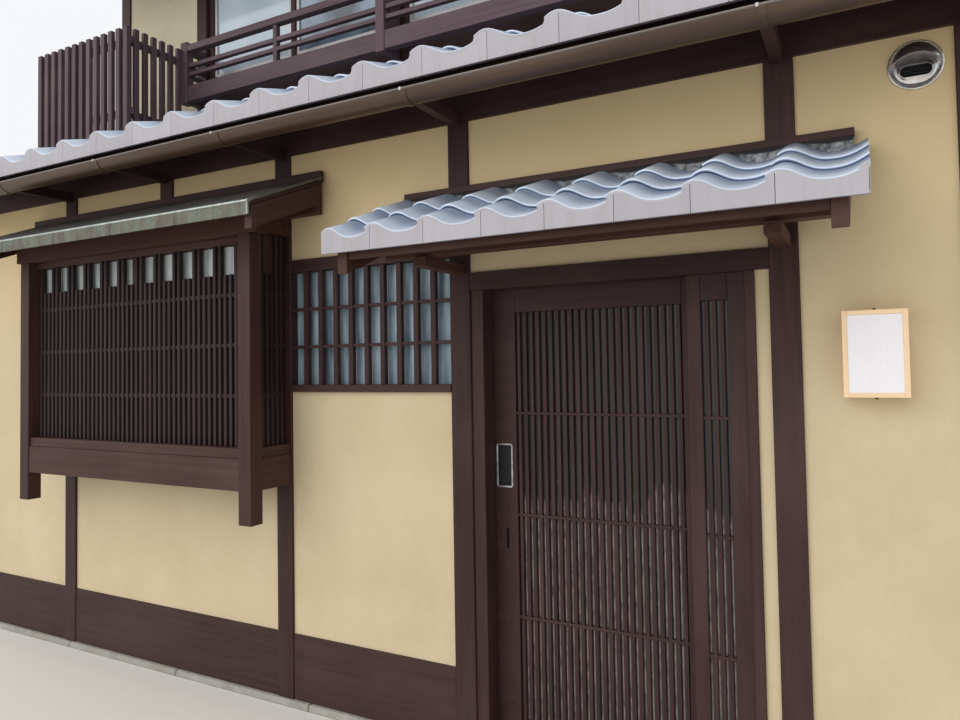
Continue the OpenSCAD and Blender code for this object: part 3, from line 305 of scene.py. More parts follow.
def copperMetal(tree, place, look):
    edge = tree.attribute("edge")
    streaks = tree.noise(place, 1.0, 4.0, 0.62, (26.0, 3.0, 3.0))
    blooms = tree.noise(place, 7.0, 4.0, 0.62)
    fine = tree.noise(place, 120.0, 3.0, 0.6)
    green = tree.tint(fine, 0.35, 0.7, *look["green"])
    brown = tree.tint(fine, 0.35, 0.7, *look["brown"])
    patina = tree.tint(streaks * 0.6 + blooms * 0.4, 0.42, 0.58, brown, green)
    # painted dark reflection on the top behind the rolled edge
    darkened = tree.mixed(tree.attribute("behind"), patina, look["behind"])
    return {
        # painted highlight along the rolled edge and the folds
        "Base Color": tree.mixed(edge, darkened, tree.tint(streaks, 0.4, 0.7, *look["edge"])),
        "Roughness": tree.spread(fine, 0.3, 0.7, 0.42, 0.60) - edge * 0.15,
        "Metallic": 0.35 + edge * 0.3,
        "Normal": tree.bump(blooms * 0.7 + fine * 0.3, 0.0015),
    }


kerbLook = {"pale": (0.42, 0.41, 0.38), "dark": (0.24, 0.235, 0.22), "warm": (0.30, 0.26, 0.20)}
floorMortarLook = {"pale": (0.36, 0.34, 0.31), "dark": (0.27, 0.26, 0.24), "warm": (0.24, 0.215, 0.18)}


def stone(tree, place, look):
    lumps = tree.noise(place, 14.0, 5.0, 0.65)
    grit = tree.noise(place, 220.0, 3.0, 0.7)
    damp = tree.noise(place, 2.1, 3.0, 0.5)
    ground = tree.tint(lumps * 0.5 + grit * 0.5, 0.34, 0.66, look["dark"], look["pale"])
    return {
        "Base Color": tree.mixed(tree.spread(damp, 0.45, 0.75, 0.0, 0.5), ground, look["warm"]),
        "Roughness": tree.spread(grit, 0.3, 0.7, 0.82, 0.96),
        "Normal": tree.bump(lumps * 0.6 + grit * 0.4, 0.003),
    }


frostLook = {"deep": (0.24, 0.30, 0.32), "clear": (0.55, 0.62, 0.62)}
slateFrostLook = {"deep": (0.108, 0.170, 0.232), "clear": (0.375, 0.470, 0.555)}


def frost(tree, place, look):
    folds = tree.noise(place, 24.0, 3.0, 0.55, (1.0, 1.0, 0.10))
    mist = tree.noise(place, 380.0, 2.0, 0.6)
    return {
        "Base Color": tree.tint(folds, 0.34, 0.66, look["deep"], look["clear"]),
        "Roughness": tree.spread(mist, 0.3, 0.7, 0.38, 0.52),
        "Normal": tree.bump(mist, 0.0002, 0.5),
    }


# the glass is opaque; its dark colour is painted shade of the unlit room behind
paneLook = {"deep": (0.018, 0.018, 0.020), "clear": (0.045, 0.043, 0.046)}


def pane(tree, place, look):
    waves = tree.noise(place, 3.2)
    dust = tree.noise(place, 45.0, 3.0, 0.6)
    return {
        "Base Color": tree.tint(waves, 0.35, 0.65, look["deep"], look["clear"]),
        "Roughness": tree.spread(dust, 0.35, 0.75, 0.05, 0.14),
        "Normal": tree.bump(waves, 0.004, 0.4),
    }


# a painted reflection on the glass behind the door's lattices
barredLook = {
    "shift": 0.0035,      # how far the line lies left of the middle of the gap
    "half": 0.0034,       # half the line's width
    "top": 1.12,          # height up to which the painted reflection makes the glass paler
    "upper": (0.036, 0.036, 0.039),
    "lower": (0.060, 0.052, 0.055),
    "line": (0.420, 0.350, 0.355),
}


def barredPane(tree, place, look):
    # painted reflection: the lower glass is paler, with a broken bright line in each gap between the bars
    step, half, top = look["step"], look["half"], look["top"]
    ragged = tree.noise(place, 5.0, 3.0, 0.6)
    broken = tree.noise(place, 2.0, 2.0, 0.6, (30.0, 1.0, 9.0))
    dust = tree.noise(place, 45.0, 3.0, 0.6)
    across = (tree.axis(place, 0) - look["gap"] + look["shift"]) / step + 0.5
    aside = tree.maths("ABSOLUTE", across % 1.0 - 0.5)
    line = tree.spread(aside * step, half * 0.6, half, 1.0, 0.0)
    low = tree.spread(tree.axis(place, 2) - ragged * 0.5, top - 0.25, top - 0.18, 1.0, 0.0)
    glow = line * low * tree.spread(broken, 0.35, 0.6, 0.25, 1.0)
    return {
        "Base Color": tree.mixed(glow, tree.mixed(low, look["upper"], look["lower"]), look["line"]),
        "Roughness": tree.spread(dust, 0.35, 0.75, 0.10, 0.22),
    }


curtainLook = {
    "cloth": ((0.44, 0.54, 0.63), (0.53, 0.63, 0.72)),
    "dark": ((0.040, 0.060, 0.085), (0.22, 0.31, 0.41)),
    "start": -0.166,      # where a window begins
    "window": 1.82,       # from one window to the next
    "sash": 0.905,        # width of its left sash
}


def curtainPane(tree, place, look):
    # the left sash of each window has a pale curtain close behind it
    along = (tree.axis(place, 0) - look["start"] + look["window"]) % look["window"]
    folds = tree.noise(place, 2.6, 2.0, 0.5, (1.0, 1.0, 0.6))
    cloth = tree.tint(folds, 0.35, 0.65, *look["cloth"])
    dark = tree.tint(folds, 0.42, 0.58, *look["dark"])
    sash = tree.spread(along, look["sash"], look["sash"] + 0.01, 1.0, 0.0)
    return {
        "Base Color": tree.mixed(sash, dark, cloth),
        "Roughness": tree.spread(folds, 0.3, 0.7, 0.06, 0.12),
    }


# hollow is the colour of painted shade inside a recess
pullLook = {"dull": (0.27, 0.26, 0.27), "clean": (0.56, 0.56, 0.57), "hollow": (0.030, 0.031, 0.033),
            "rough": 0.24, "relief": 0.0003}
ventLook = dict(pullLook, dull=(0.60, 0.58, 0.58), clean=(0.74, 0.72, 0.71), relief=0.00002)


def steel(tree, place, look):
    # painted shade inside each recess
    hollow = tree.attribute("hollow")
    brushed = tree.noise(place, 3.0, 3.0, 0.6, (14.0, 14.0, 160.0))
    smear = tree.noise(place, 24.0, 3.0, 0.55)
    rough = tree.spread(brushed, 0.3, 0.7, look["rough"], look["rough"] + 0.12)
    bright = tree.tint(smear, 0.35, 0.7, look["dull"], look["clean"])
    return {
        "Base Color": tree.mixed(hollow, bright, look["hollow"]),
        "Roughness": rough + hollow * 0.3,
        "Normal": tree.bump(brushed, look["relief"], 0.5),
    }


def lampPaper(tree, place, look):
    fibres = tree.noise(place, 130.0, 4.0, 0.7)
    return {
        "Base Color": tree.tint(fibres, 0.35, 0.65, *look),
        "Roughness": tree.spread(tree.noise(place, 9.0), 0.3, 0.7, 0.30, 0.40),
        "Normal": tree.bump(fibres, 0.0002, 0.4),
    }


def nearBlack(tree, place, look):
    dust = tree.noise(place, 150.0, 3.0, 0.6)
    return {
        "Base Color": tree.tint(dust, 0.4, 0.8, *look),
        "Roughness": tree.spread(dust, 0.3, 0.7, 0.45, 0.70),
    }


def anodized(tree, place, look):
    drawn = tree.noise(place, 2.0, 3.0, 0.6, (60.0, 60.0, 2.0))
    return {
        "Base Color": tree.tint(drawn, 0.35, 0.7, *look),
        "Roughness": tree.spread(drawn, 0.3, 0.7, 0.36, 0.48),
    }


# over is painted shadow
infillLook = {"dark": (0.105, 0.112, 0.120), "pale": (0.37, 0.39, 0.41), "over": (0.022, 0.020, 0.021)}


def mortar(tree, place, look):
    # pale lumps in the valleys, painted shadow over the crests and under the board
    lumps = tree.noise(place, 34.0, 3.0, 0.6)
    grit = tree.noise(place, 240.0, 2.0, 0.6)
    body = tree.tint(lumps, 0.40, 0.60, look["dark"], look["pale"])
    return {
        "Base Color": tree.mixed(tree.attribute("over"), body, look["over"]),
        "Roughness": tree.spread(grit, 0.3, 0.7, 0.84, 0.96),
        "Normal": tree.bump(lumps * 0.7 + grit * 0.3, 0.004),
    }


matt = {"Specular IOR Level": 0.22}
# by material slot, then those of single pieces: name, build, look, inputs that don't vary
surfaces = {
    "stained_wood": ("stainedWood", wood, stainedLook, matt),
    "stained_wood_light": ("stainedWoodLit", wood, litLook, matt),
    "door_wood": ("doorWood", wood, doorLook, matt),
    "floor_boards": ("floorBoards", wood, floorLook),
    "lamp_body": ("hinokiFrame", wood, hinokiLook),
    "plaster_front": ("ochrePlaster", plaster, plasterLook),
    "plaster_upper": ("paleUpperPlaster", plaster, upperPlasterLook),
    "plaster_side": ("sidePlaster", plaster, sidePlasterLook),
    "roof_tile": ("smokedTile", tile, tileLook),
    "gutter_metal": ("bronzeGutter", gutterMetal, gutterLook, {"Specular IOR Level": 0.45}),
    "weathered_copper": ("weatheredCopper", copperMetal, copperLook),
    "kerb_stone": ("kerbStone", stone, kerbLook),
    "floor_mortar": ("floorMortar", stone, floorMortarLook),
    "frosted_glass": ("frostedGlass", frost, frostLook),
    "clear_glass": ("darkPane", pane, paneLook),
    "pull_metal": ("pullSteel", steel, pullLook, {"Metallic": 0.8}),
    "vent_steel": ("ventSteel", steel, ventLook, {"Metallic": 1.0}),
    "litCanopyWood": ("litCanopyWood", wood, litCanopyLook, matt),
    "latticeWood": ("latticeWood", wood, latticeLook, matt),
    "skySheenWood": ("skySheenWood", wood, skySheenWoodLook, matt),
    "curtainPane": ("curtainPane", curtainPane, curtainLook),
    "slateFrost": ("slateFrost", frost, slateFrostLook),
    "lampPanel": ("lampPanel", lampPaper, ((0.80, 0.80, 0.86), (0.86, 0.86, 0.90))),
    "darkHollow": ("darkHollow", nearBlack, ((0.010, 0.010, 0.011), (0.035, 0.034, 0.032)),
                   {"Specular IOR Level": 0.1}),
    "anodizedSash": ("anodizedSash", anodized, ((0.36, 0.345, 0.345), (0.47, 0.45, 0.45)), {"Metallic": 0.7}),
    "infillMortar": ("infillMortar", mortar, infillLook),
    "litGutterLip": ("litGutterLip", gutterMetal, litGutterLipLook),
}
finishes = {key: finish(*row) for key, row in surfaces.items()}
print("finishes made:", len(finishes))


def meshPiece(name, points, faces, **values):
    # values are one number or one vector for each point
    mesh = bpy.data.meshes.new(name)
    mesh.from_pydata([tuple(point) for point in points], [], faces)
    for label, numbers in values.items():
        array = np.array(numbers, np.float32)
        kind, field = ("FLOAT_VECTOR", "vector") if array.ndim == 2 else ("FLOAT", "value")
        mesh.attributes.new(label, kind, "POINT").data.foreach_set(field, array.ravel())
    mesh.update()
    return linked(name, mesh)


def linked(name, mesh):
    piece = bpy.data.objects.new(name, mesh)
    scene.collection.objects.link(piece)
    return piece


def closedPiece(name, points, faces, **values):
    # a closed shell with its seams merged and its faces turned outwards
    piece = meshPiece(name, points, faces, **values)
    shape = bmesh.new()
    shape.from_mesh(piece.data)
    bmesh.ops.remove_doubles(shape, verts=shape.verts, dist=1e-6)
    bmesh.ops.dissolve_degenerate(shape, dist=1e-7, edges=shape.edges)
    bmesh.ops.recalc_face_normals(shape, faces=shape.faces)
    shape.to_mesh(piece.data)
    shape.free()
    return piece


def loftFaces(size, count, start=0):
    # the sides between rings of points, then a cap on the first and on the last
    faces = []
    for here in range(start, start + (count - 1) * size, size):
        for i in range(size):
            after = (i + 1) % size
            faces.append([here + i, here + after, here + size + after, here + size + i])
    last = start + (count - 1) * size
    return faces + [list(range(start, start + size))[::-1], list(range(last, last + size))]


def sheetFaces(steps, count):
    # rings that run over a bent sheet and back under it, a strip of faces at both ends
    size = 2 * steps + 2
    last = (count - 1) * size
    faces = loftFaces(size, count)[:-2]
    for i in range(steps):
        low = size - 1 - i
        faces.append([i, low, low - 1, i + 1])
        faces.append([last + i, last + i + 1, last + low - 1, last + low])
    return faces


def chamferedBox(low, high, edge):
    # three points to each corner of the box, so that every arris is cut back
    points = []
    for corner in range(8):
        for flat in range(3):
            place = []
            for axis in range(3):
                inward = 0.0 if axis == flat else min(edge, (high[axis] - low[axis]) * 0.4)
                place.append(high[axis] - inward if corner >> axis & 1 else low[axis] + inward)
            points.append(place)
    faces = [[3 * corner, 3 * corner + 1, 3 * corner + 2] for corner in range(8)]
    for axis in range(3):
        first, second = [other for other in range(3) if other != axis]
        around = [(a << first) | (b << second) for a, b in ((0, 0), (1, 0), (1, 1), (0, 1))]
        for end in (0, 1 << axis):
            faces.append([3 * (corner + end) + axis for corner in around])
        for near in around:
            far = near + (1 << axis)
            faces.append([3 * near + first, 3 * far + first, 3 * far + second, 3 * near + second])
    middle = Vector([(a + b) / 2 for a, b in zip(low, high)])
    return points, [outward(points, face, middle) for face in faces]


def outward(points, face, middle):
    corners = [Vector(points[i]) for i in face]
    normal = (corners[1] - corners[0]).cross(corners[2] - corners[0])
    centre = sum(corners, Vector()) / len(corners)
    return face if normal.dot(centre - middle) > 0 else face[::-1]


def sheared(points, slope, origin):
    return [(x, y, z + slope * (y - origin)) for x, y, z in points]


def boxMesh(members, edge, slope=0.0, origin=0.0):
    # a chamfered box for each member, given as low, high, grain and tone; a slope lifts it along Y
    points, faces, grain, tone = [], [], [], []
    for low, high, along, level in members:
        box, boxFaces = chamferedBox(low, high, edge)
        faces += [[i + len(points) for i in face] for face in boxFaces]
        points += sheared(box, slope, origin)
        grain += [along] * len(box)
        tone += [level] * len(box)
    return points, faces, {"grain": grain, "tone": tone}


def membersPiece(name, boxes, edge, seed):
    # the grain of each member runs along its longest side
    random = np.random.default_rng(seed)
    members = []
    for low, high in boxes:
        longest = int(np.argmax([b - a for a, b in zip(low, high)]))
        members.append((low, high, [float(axis == longest) for axis in range(3)], random.random()))
    points, faces, values = boxMesh(members, edge)
    return meshPiece(name, points, faces, **values)


sameLine = 0.0008      # corners nearer than this lie on one line of the grid
uprightBar = 0.5       # a lattice's bars are longer than this, its cross rails thinner


def cellsOf(node):
    # the cells of the grid through all corners of a square-cut node, and which of them are solid
    mesh = frame["nodes"][node].data
    corners = [vertex.co for vertex in mesh.vertices]
    lines = []
    for values in np.sort(np.array(corners), axis=0).T:
        kept = [values[0]]
        for value in values:
            if value - kept[-1] > sameLine:
                kept.append(value)
        lines.append(np.array(kept))
    surface = BVHTree.FromPolygons(corners, [list(face.vertices) for face in mesh.polygons])
    middles = [(line[1:] + line[:-1]) / 2 for line in lines]
    solid = np.zeros([len(middle) for middle in middles], bool)
    slant = Vector((0.011, 1.0, 0.0173)).normalized()
    for cell in np.ndindex(solid.shape):
        place = Vector([middle[i] for middle, i in zip(middles, cell)])
        found = surface.ray_cast(place, slant)[0]
        while found is not None:
            solid[cell] = not solid[cell]
            found = surface.ray_cast(found + slant * 1e-5, slant)[0]
    return lines, solid


def boxesOf(node, stages, filled=None):
    # takes a square-cut node apart into its members; stages name the direction whose members
    # run through first, and how long they are at least
    lines, left = cellsOf(node)
    if filled:
        middles = [(line[1:] + line[:-1]) / 2 for line in lines]
        inside = [(middle > a) & (middle < b) for middle, a, b in zip(middles, *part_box(filled))]
        left[np.ix_(*inside)] = True
    boxes = []
    for stage in stages.split():
        axis = "xyz".index(stage[0])
        while left.any():
            run, first, last = longestRun(left, lines, axis)
            if run < float(stage[1:] or 0):
                break
            for other in range(3):
                if other != axis:
                    widen(left, axis, other, first, last)
            left[spanOf(first, last)] = False
            boxes.append(([line[a] for line, a in zip(lines, first)],
                          [line[b + 1] for line, b in zip(lines, last)]))
    return boxes


def spanOf(first, last):
    return tuple(slice(a, b + 1) for a, b in zip(first, last))


def goesOn(left, place, axis, step):
    beyond = list(place)
    beyond[axis] += step
    return 0 <= beyond[axis] < left.shape[axis] and left[tuple(beyond)]


def longestRun(left, lines, axis):
    best = (0.0, None, None)
    for start in np.argwhere(left):
        if goesOn(left, start, axis, -1):
            continue
        first, last = list(start), list(start)
        while goesOn(left, last, axis, 1):
            last[axis] += 1
        run = lines[axis][last[axis] + 1] - lines[axis][first[axis]]
        if run > best[0] + 1e-4:
            best = (run, first, last)
    return best


def widen(left, axis, other, first, last):
    # grows a run sideways, but not into a neighbour that goes on past its ends
    for step, ends in ((-1, first), (1, last)):
        while 0 <= ends[other] + step < left.shape[other]:
            span = list(spanOf(first, last))
            span[other] = slice(ends[other] + step, ends[other] + step + 1)
            strip = left[tuple(span)]
            span[axis] = slice(max(0, first[axis] - 1), last[axis] + 2)
            if not strip.all() or left[tuple(span)].sum() > strip.size:
                break
            ends[other] += step


def partsPiece(name, node, edge, seed):
    # a copy of a CAD node, merged, its arrises cut back, with each part's grain along its length
    random = np.random.default_rng(seed)
    shape = bmesh.new()
    shape.from_mesh(frame["nodes"][node].data)
    bmesh.ops.remove_doubles(shape, verts=shape.verts, dist=2e-5)
    bmesh.ops.dissolve_limit(shape, angle_limit=math.radians(0.6), verts=shape.verts, edges=shape.edges)
    grain = shape.verts.layers.float_vector.new("grain")
    tone = shape.verts.layers.float.new("tone")
    for part in loosePartsOf(shape):
        places = np.array([vertex.co for vertex in part])
        direction = np.linalg.svd(places - places.mean(0))[2][0]
        level = random.random()
        for vertex in part:
            vertex[grain] = direction
            vertex[tone] = level
    sharp = [line for line in shape.edges if line.calc_face_angle(0) > 0.5]
    bmesh.ops.bevel(shape, geom=sharp, offset=edge, segments=1, affect="EDGES", clamp_overlap=True)
    mesh = bpy.data.meshes.new(name)
    shape.to_mesh(mesh)
    shape.free()
    return linked(name, mesh)


def loosePartsOf(shape):
    seen = set()
    parts = []
    for start in shape.verts:
        if start in seen:
            continue
        part, queue = [], [start]
        seen.add(start)
        while queue:
            vertex = queue.pop()
            part.append(vertex)
            for edge in vertex.link_edges:
                other = edge.other_vert(vertex)
                if other not in seen:
                    seen.add(other)
                    queue.append(other)
        parts.append(part)
    return parts


def settle(piece, slot, *nodes, body="house", surface=None):
    # gives a finished piece its surface, its body and what it stands for
    piece.data.materials.clear()
    piece.data.materials.append(finishes[surface or slot])
    if nodes:
        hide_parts(*nodes)
    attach(piece, body)


def applied(piece, modifier):
    # leaves what a modifier makes as a plain mesh
    depsgraph = bpy.context.evaluated_depsgraph_get()
    mesh = bpy.data.meshes.new_from_object(piece.evaluated_get(depsgraph))
    piece.modifiers.remove(modifier)
    piece.data = mesh
    return piece


def joined(name, pieces):
    # the first piece has to be the one with attributes of its own
    with bpy.context.temp_override(active_object=pieces[0], selected_editable_objects=pieces):
        bpy.ops.object.join()
    pieces[0].name = name
    pieces[0].data.name = name
    return pieces[0]


def roundedRectangle(halfWide, halfHigh, radius, steps):
    outline = []
    for quarter, (sx, sz) in enumerate(((1, 1), (-1, 1), (-1, -1), (1, -1))):
        for i in range(steps + 1):
            turn = math.pi / 2 * (quarter + i / steps)
            outline.append((sx * (halfWide - radius) + math.cos(turn) * radius,
                            sz * (halfHigh - radius) + math.sin(turn) * radius))
    return outline


def recessedPlate(name, box, plate):
    # rounded rings, each so far in from the plate's edge and so far behind its face
    low, high = box
    middle = [(a + b) / 2 for a, b in zip(low, high)]
    half = [(b - a) / 2 for a, b in zip(low, high)]
    points, hollow = [], []
    for number, (inset, back) in enumerate(plate["rings"]):
        corner = max(0.001, plate["corner"] - inset)
        outline = roundedRectangle(half[0] - inset, half[2] - inset, corner, 5)
        points += [(middle[0] + x, low[1] + back, middle[2] + z) for x, z in outline]
        hollow += [float(number >= plate["hollowFrom"])] * len(outline)
    return closedPiece(name, points, loftFaces(len(outline), len(plate["rings"])), hollow=hollow)


def hollowed(piece, box, plate):
    # cuts the pocket for a plate into the front of a piece
    inset, deep = plate["pocket"]
    pocket = dict(plate, rings=[(inset, -0.02), (inset, deep)])
    cutter = recessedPlate("cutter", box, pocket)
    modifier = piece.modifiers.new("pocket", "BOOLEAN")
    modifier.operation = "DIFFERENCE"
    modifier.solver = "EXACT"
    modifier.object = cutter
    applied(piece, modifier)
    bpy.data.objects.remove(cutter)


pull = {
    "corner": 0.012,
    "rings": [(0.0, 0.0155), (0.0, 0.0015), (0.0012, 0.0), (0.0068, 0.0), (0.0086, 0.0014),
              (0.0098, 0.0040), (0.0110, 0.0135)],
    # rings from hollowFrom on get painted shade
    "hollowFrom": 5,
    "pocket": (0.001, 0.0158),     # how far in from the edge, and how deep
}
keyPlate = {
    "x": 0.0725,          # from the leaf's left edge
    "low": 0.905,
    "high": 1.000,
    "half": 0.0065,
    "proud": 0.001,
    "corner": 0.0055,
    "rings": [(0.0, 0.0105), (0.0, 0.0003), (0.0006, 0.0), (0.0016, 0.0), (0.0020, 0.0008), (0.0022, 0.0100)],
    "hollowFrom": 4,
    "pocket": (0.0008, 0.011),
}
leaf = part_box("door_leaf")[0]
keyX = leaf.x + keyPlate["x"]
keyBox = (Vector((keyX - keyPlate["half"], leaf.y - keyPlate["proud"], keyPlate["low"])),
          Vector((keyX + keyPlate["half"], leaf.y, keyPlate["high"])))

# square-cut timber: the directions in order, each with the least length of its members, and
# how far an arris is cut back
timber = {
    "front_posts": ("z", 0.003),
    "skirting": ("x", 0.003),
    "eave_arms": ("y", 0.002),
    "bay_posts": ("z", 0.003),
    "bay_beams": ("x0.3 y", 0.003),
    "bay_rails": ("x0.3 y", 0.002),
    "bay_lattice": ("z0.3 x y", 0.0012),
    "bay_window_frame": ("z0.5 x y", 0.002),
    "wall_boards": ("x", 0.002),
    "window_frame": ("x", 0.002),
    "window_lattice": ("z0.3 x", 0.0015),
    "door_frame": ("x1 z", 0.0025),
    "door_tracks": ("x", 0.001),
    "door_leaf": ("z1 x", 0.002),
    "door_lattice": ("z0.3 x", 0.0012),
    "side_panel": ("z1 x", 0.002),
    "side_panel_lattice": ("z0.3 x", 0.0012),
    "upper_posts": ("z", 0.003),
    "upper_windows": ("z1 x", 0.002),
    "balustrade": ("z0.46 x0.3 y0.05 z", 0.002),
    "slat_screen": ("z0.5 x0.1 y0.1 z", 0.002),
    "back_posts": ("z", 0.003),
    "back_windows": ("z1 x", 0.002),
}
# timber with sloping cuts, kept part by part
slopedTimber = ("eave_beam", "eave_purlin", "eave_fascia", "bay_purlin", "bay_rafters", "canopy_arms",
                "canopy_beam", "upper_beams")
# surfaces of whole nodes that differ from their slot's
surfaceOf = {
    "bay_lattice": "latticeWood",
    "balustrade": "skySheenWood",
    "slat_screen": "skySheenWood",
    "bay_purlin": "litCanopyWood",
    "canopy_arms": "litCanopyWood",
    "canopy_beam": "litCanopyWood",
    "window_glass": "slateFrost",
    "upper_glass": "curtainPane",
    "back_glass": "curtainPane",
    "back_wall": "plaster_side",
    "door_glass": "doorPane",
    "side_panel_glass": "sidePane",
}

for seed, (node, (stages, edge)) in enumerate(timber.items()):
    boxes = boxesOf(node, stages, "door_pull" if node == "door_leaf" else None)
    piece = membersPiece(node + "_members", boxes, edge, seed)
    if node == "door_leaf":
        hollowed(piece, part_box("door_pull"), pull)
        hollowed(piece, keyBox, keyPlate)
    settle(piece, slotOf[node], node, body=bodyOf[node], surface=surfaceOf.get(node))
    if node in ("door_lattice", "side_panel_lattice"):
        bars = [(low[0] + high[0]) / 2 for low, high in boxes if high[2] - low[2] > uprightBar]
        step = (max(bars) - min(bars)) / (len(bars) - 1)
        name = surfaceOf[node.replace("lattice", "glass")]
        finishes[name] = finish(name, barredPane, dict(barredLook, gap=min(bars) + step / 2, step=step))
    print("timber", node, len(boxes), "members")
for seed, node in enumerate(slopedTimber):
    piece = partsPiece(node + "_members", node, 0.002, 100 + seed)
    settle(piece, slotOf[node], node, body=bodyOf[node], surface=surfaceOf.get(node))
print("timber made")

for node in ("ground_floor", "front_wall", "upper_wall", "party_walls", "back_wall", "gutter",
             "gutter_straps", "bay_glass", "window_glass", "side_panel_glass", "door_glass", "back_glass",
             "upper_glass"):
    carried = frame["nodes"][node]
    surface = finishes[surfaceOf.get(node, slotOf[node])]
    if not carried.material_slots:
        carried.data.materials.append(surface)
    for materialSlot in carried.material_slots:
        materialSlot.material = surface
print("carried nodes finished")


def repeatTree():
    # copies of a mesh in rows, each a little out of place, with a tone of its own
    group = bpy.data.node_groups.new("repeatInRows", "GeometryNodeTree")
    for name, kind in (("Geometry", "Geometry"), ("Across Count", "Int"), ("Across Step", "Vector"),
                       ("Up Count", "Int"), ("Up Step", "Vector"), ("Start", "Vector"),
                       ("Loose Place", "Float"), ("Loose Turn", "Float"), ("Seed", "Int"),
                       ("Finish", "Material")):
        group.interface.new_socket(name, in_out="INPUT", socket_type="NodeSocket" + kind)
    group.interface.new_socket("Geometry", in_out="OUTPUT", socket_type="NodeSocketGeometry")
    tree = Tree(group)
    source = group.nodes.new("NodeGroupInput")
    given = {socket.name: Signal(tree, socket) for socket in source.outputs if socket.name}

    def jolt(seed):
        inputs = {0: (-1.0, -1.0, -1.0), 1: (1.0, 1.0, 1.0), "Seed": seed}
        return tree.node("FunctionNodeRandomValue", {"data_type": "FLOAT_VECTOR"}, inputs)

    index = tree.node("GeometryNodeInputIndex")
    across = tree.scaled(given["Across Step"], index % given["Across Count"])
    up = tree.scaled(given["Up Step"], tree.maths("FLOOR", index / given["Across Count"]))
    loose = tree.scaled(jolt(given["Seed"]), given["Loose Place"])
    place = tree.vector("ADD", tree.vector("ADD", across, up), loose)
    place = tree.vector("ADD", place, given["Start"])
    turn = tree.scaled(jolt(given["Seed"] + 1), given["Loose Turn"])
    tones = tree.node("FunctionNodeRandomValue", {"data_type": "FLOAT"},
                      {2: 0.0, 3: 1.0, "Seed": given["Seed"] + 2}, 1)
    count = given["Across Count"] * given["Up Count"]
    points = tree.node("GeometryNodePoints", None, {"Count": count, "Position": place})
    copies = tree.node("GeometryNodeInstanceOnPoints", None,
                       {"Points": points, "Instance": given["Geometry"], "Rotation": turn})
    toned = tree.node("GeometryNodeStoreNamedAttribute", {"data_type": "FLOAT", "domain": "INSTANCE"},
                      {"Geometry": copies, "Name": "tone", "Value": tones})
    real = tree.node("GeometryNodeRealizeInstances", None, {"Geometry": toned})
    covered = tree.node("GeometryNodeSetMaterial", None, {"Geometry": real, "Material": given["Finish"]})
    tree.node("NodeGroupOutput", None, {"Geometry": covered})
    return group


rowsTree = repeatTree()


def rows(piece, surface, seed, start, across=(1, 0.0), up=(1, 0.0, 0.0), loosePlace=0.0, looseTurn=0.0):
    # across is how many and how far apart in X, up is how many and how far apart in Y and in Z
    values = {
        "Across Count": across[0],
        "Across Step": (across[1], 0.0, 0.0),
        "Up Count": up[0],
        "Up Step": (0.0, up[1], up[2]),
        "Start": start,
        "Loose Place": loosePlace,
        "Loose Turn": looseTurn,
        "Seed": seed,
        "Finish": finishes[surface],
    }
    modifier = piece.modifiers.new("rows", "NODES")
    modifier.node_group = rowsTree
    for item in rowsTree.interface.items_tree:
        if item.item_type == "SOCKET" and item.in_out == "INPUT" and item.name in values:
            modifier[item.identifier] = values[item.name]
    return applied(piece, modifier)


# the wave of a roof tile, from its left tip to the tip of the next one
wave = {
    "crest": 0.15,       # place of the crest, as a share of the pitch
    "valley": 0.74,
    "height": 0.186,     # crest over valley
    "tipDrop": 0.285,    # tip under the crest, as a share of the height
    "endRise": 0.30,     # right end over the valley
    "front": 0.236,      # depth of a tile's front under the valley
    "round": 1.7,        # how narrow the crest is
}


def waveHeight(share):
    if share < wave["crest"]:
        return 1 - wave["tipDrop"] * ((wave["crest"] - share) / wave["crest"]) ** 2
    if share < wave["valley"]:
        turn = math.pi * (share - wave["crest"]) / (wave["valley"] - wave["crest"])
        return ((1 + math.cos(turn)) / 2) ** wave["round"]
    return wave["endRise"] * ((share - wave["valley"]) / (1 - wave["valley"])) ** 2


def tileMesh(roof, start, end, squeeze, eave):
    # a bent sheet between two shares of the wave, its thick lower lip rounded
    pitch, thick, lip = roof["pitch"], roof["thick"], roof["lip"]
    along = roof["course"] / math.cos(math.atan(roof["slope"]))
    tilt = math.atan(roof["slope"]) - math.asin(thick * 0.95 / along)
    length = along + roof["overlap"]
    steps = max(3, round(roof["steps"] * (end - start)))
    shares = [start + (end - start) * i / steps for i in range(steps + 1)]
    # how far back each ring of points lies, how far its edge is cut, how bright its painted lip highlight
    rings = [(0.0, lip, 1.0), (lip * 0.35, lip * 0.3, 1.0), (lip, 0.0, 1.0), (along * 0.28, 0.0, 0.85),
             (along * 0.7, 0.0, 0.15), (length, 0.0, 0.0)]
    if roof["plain"]:
        rings = [(0.0, lip * 0.5, 0.3), (length, 0.0, 0.0)]
    points, bright = [], []
    for back, cut, shine in rings:
        for over in (True, False):
            for share in (shares if over else shares[::-1]):
                high = waveHeight(share) * wave["height"] * pitch
                high += -cut if over else -thick + (0.0 if eave else cut)
                forward = 0.0 if eave else high * math.sin(tilt)
                rise = high if eave else high * math.cos(tilt)
                points.append((share * pitch * squeeze, back * math.cos(tilt) - forward,
                               back * math.sin(tilt) + rise))
                bright.append(shine if over else 0.0)
    fronted = eave and not roof["plain"]
    face = [float(fronted and i < 2 * len(shares)) for i in range(len(points))]
    return closedPiece("tileSeed", points, sheetFaces(steps, len(rings)), face=face, lip=bright)


def frontMesh(roof, places, heights):
    # the upright front under the eave tiles: its top follows the sheets, its foot is level
    low = -wave["front"] * roof["pitch"]
    points = []
    for x, height in zip(places, heights):
        top = height * wave["height"] * roof["pitch"] - roof["thick"] + 0.003
        points += [(x, 0.0, low), (x, 0.0, top), (x, roof["noseDepth"], top), (x, roof["noseDepth"], low)]
    face = [1.0, 1.0, 0.0, 0.0] * len(places)
    return closedPiece("frontSeed", points, loftFaces(4, len(places)), face=face)


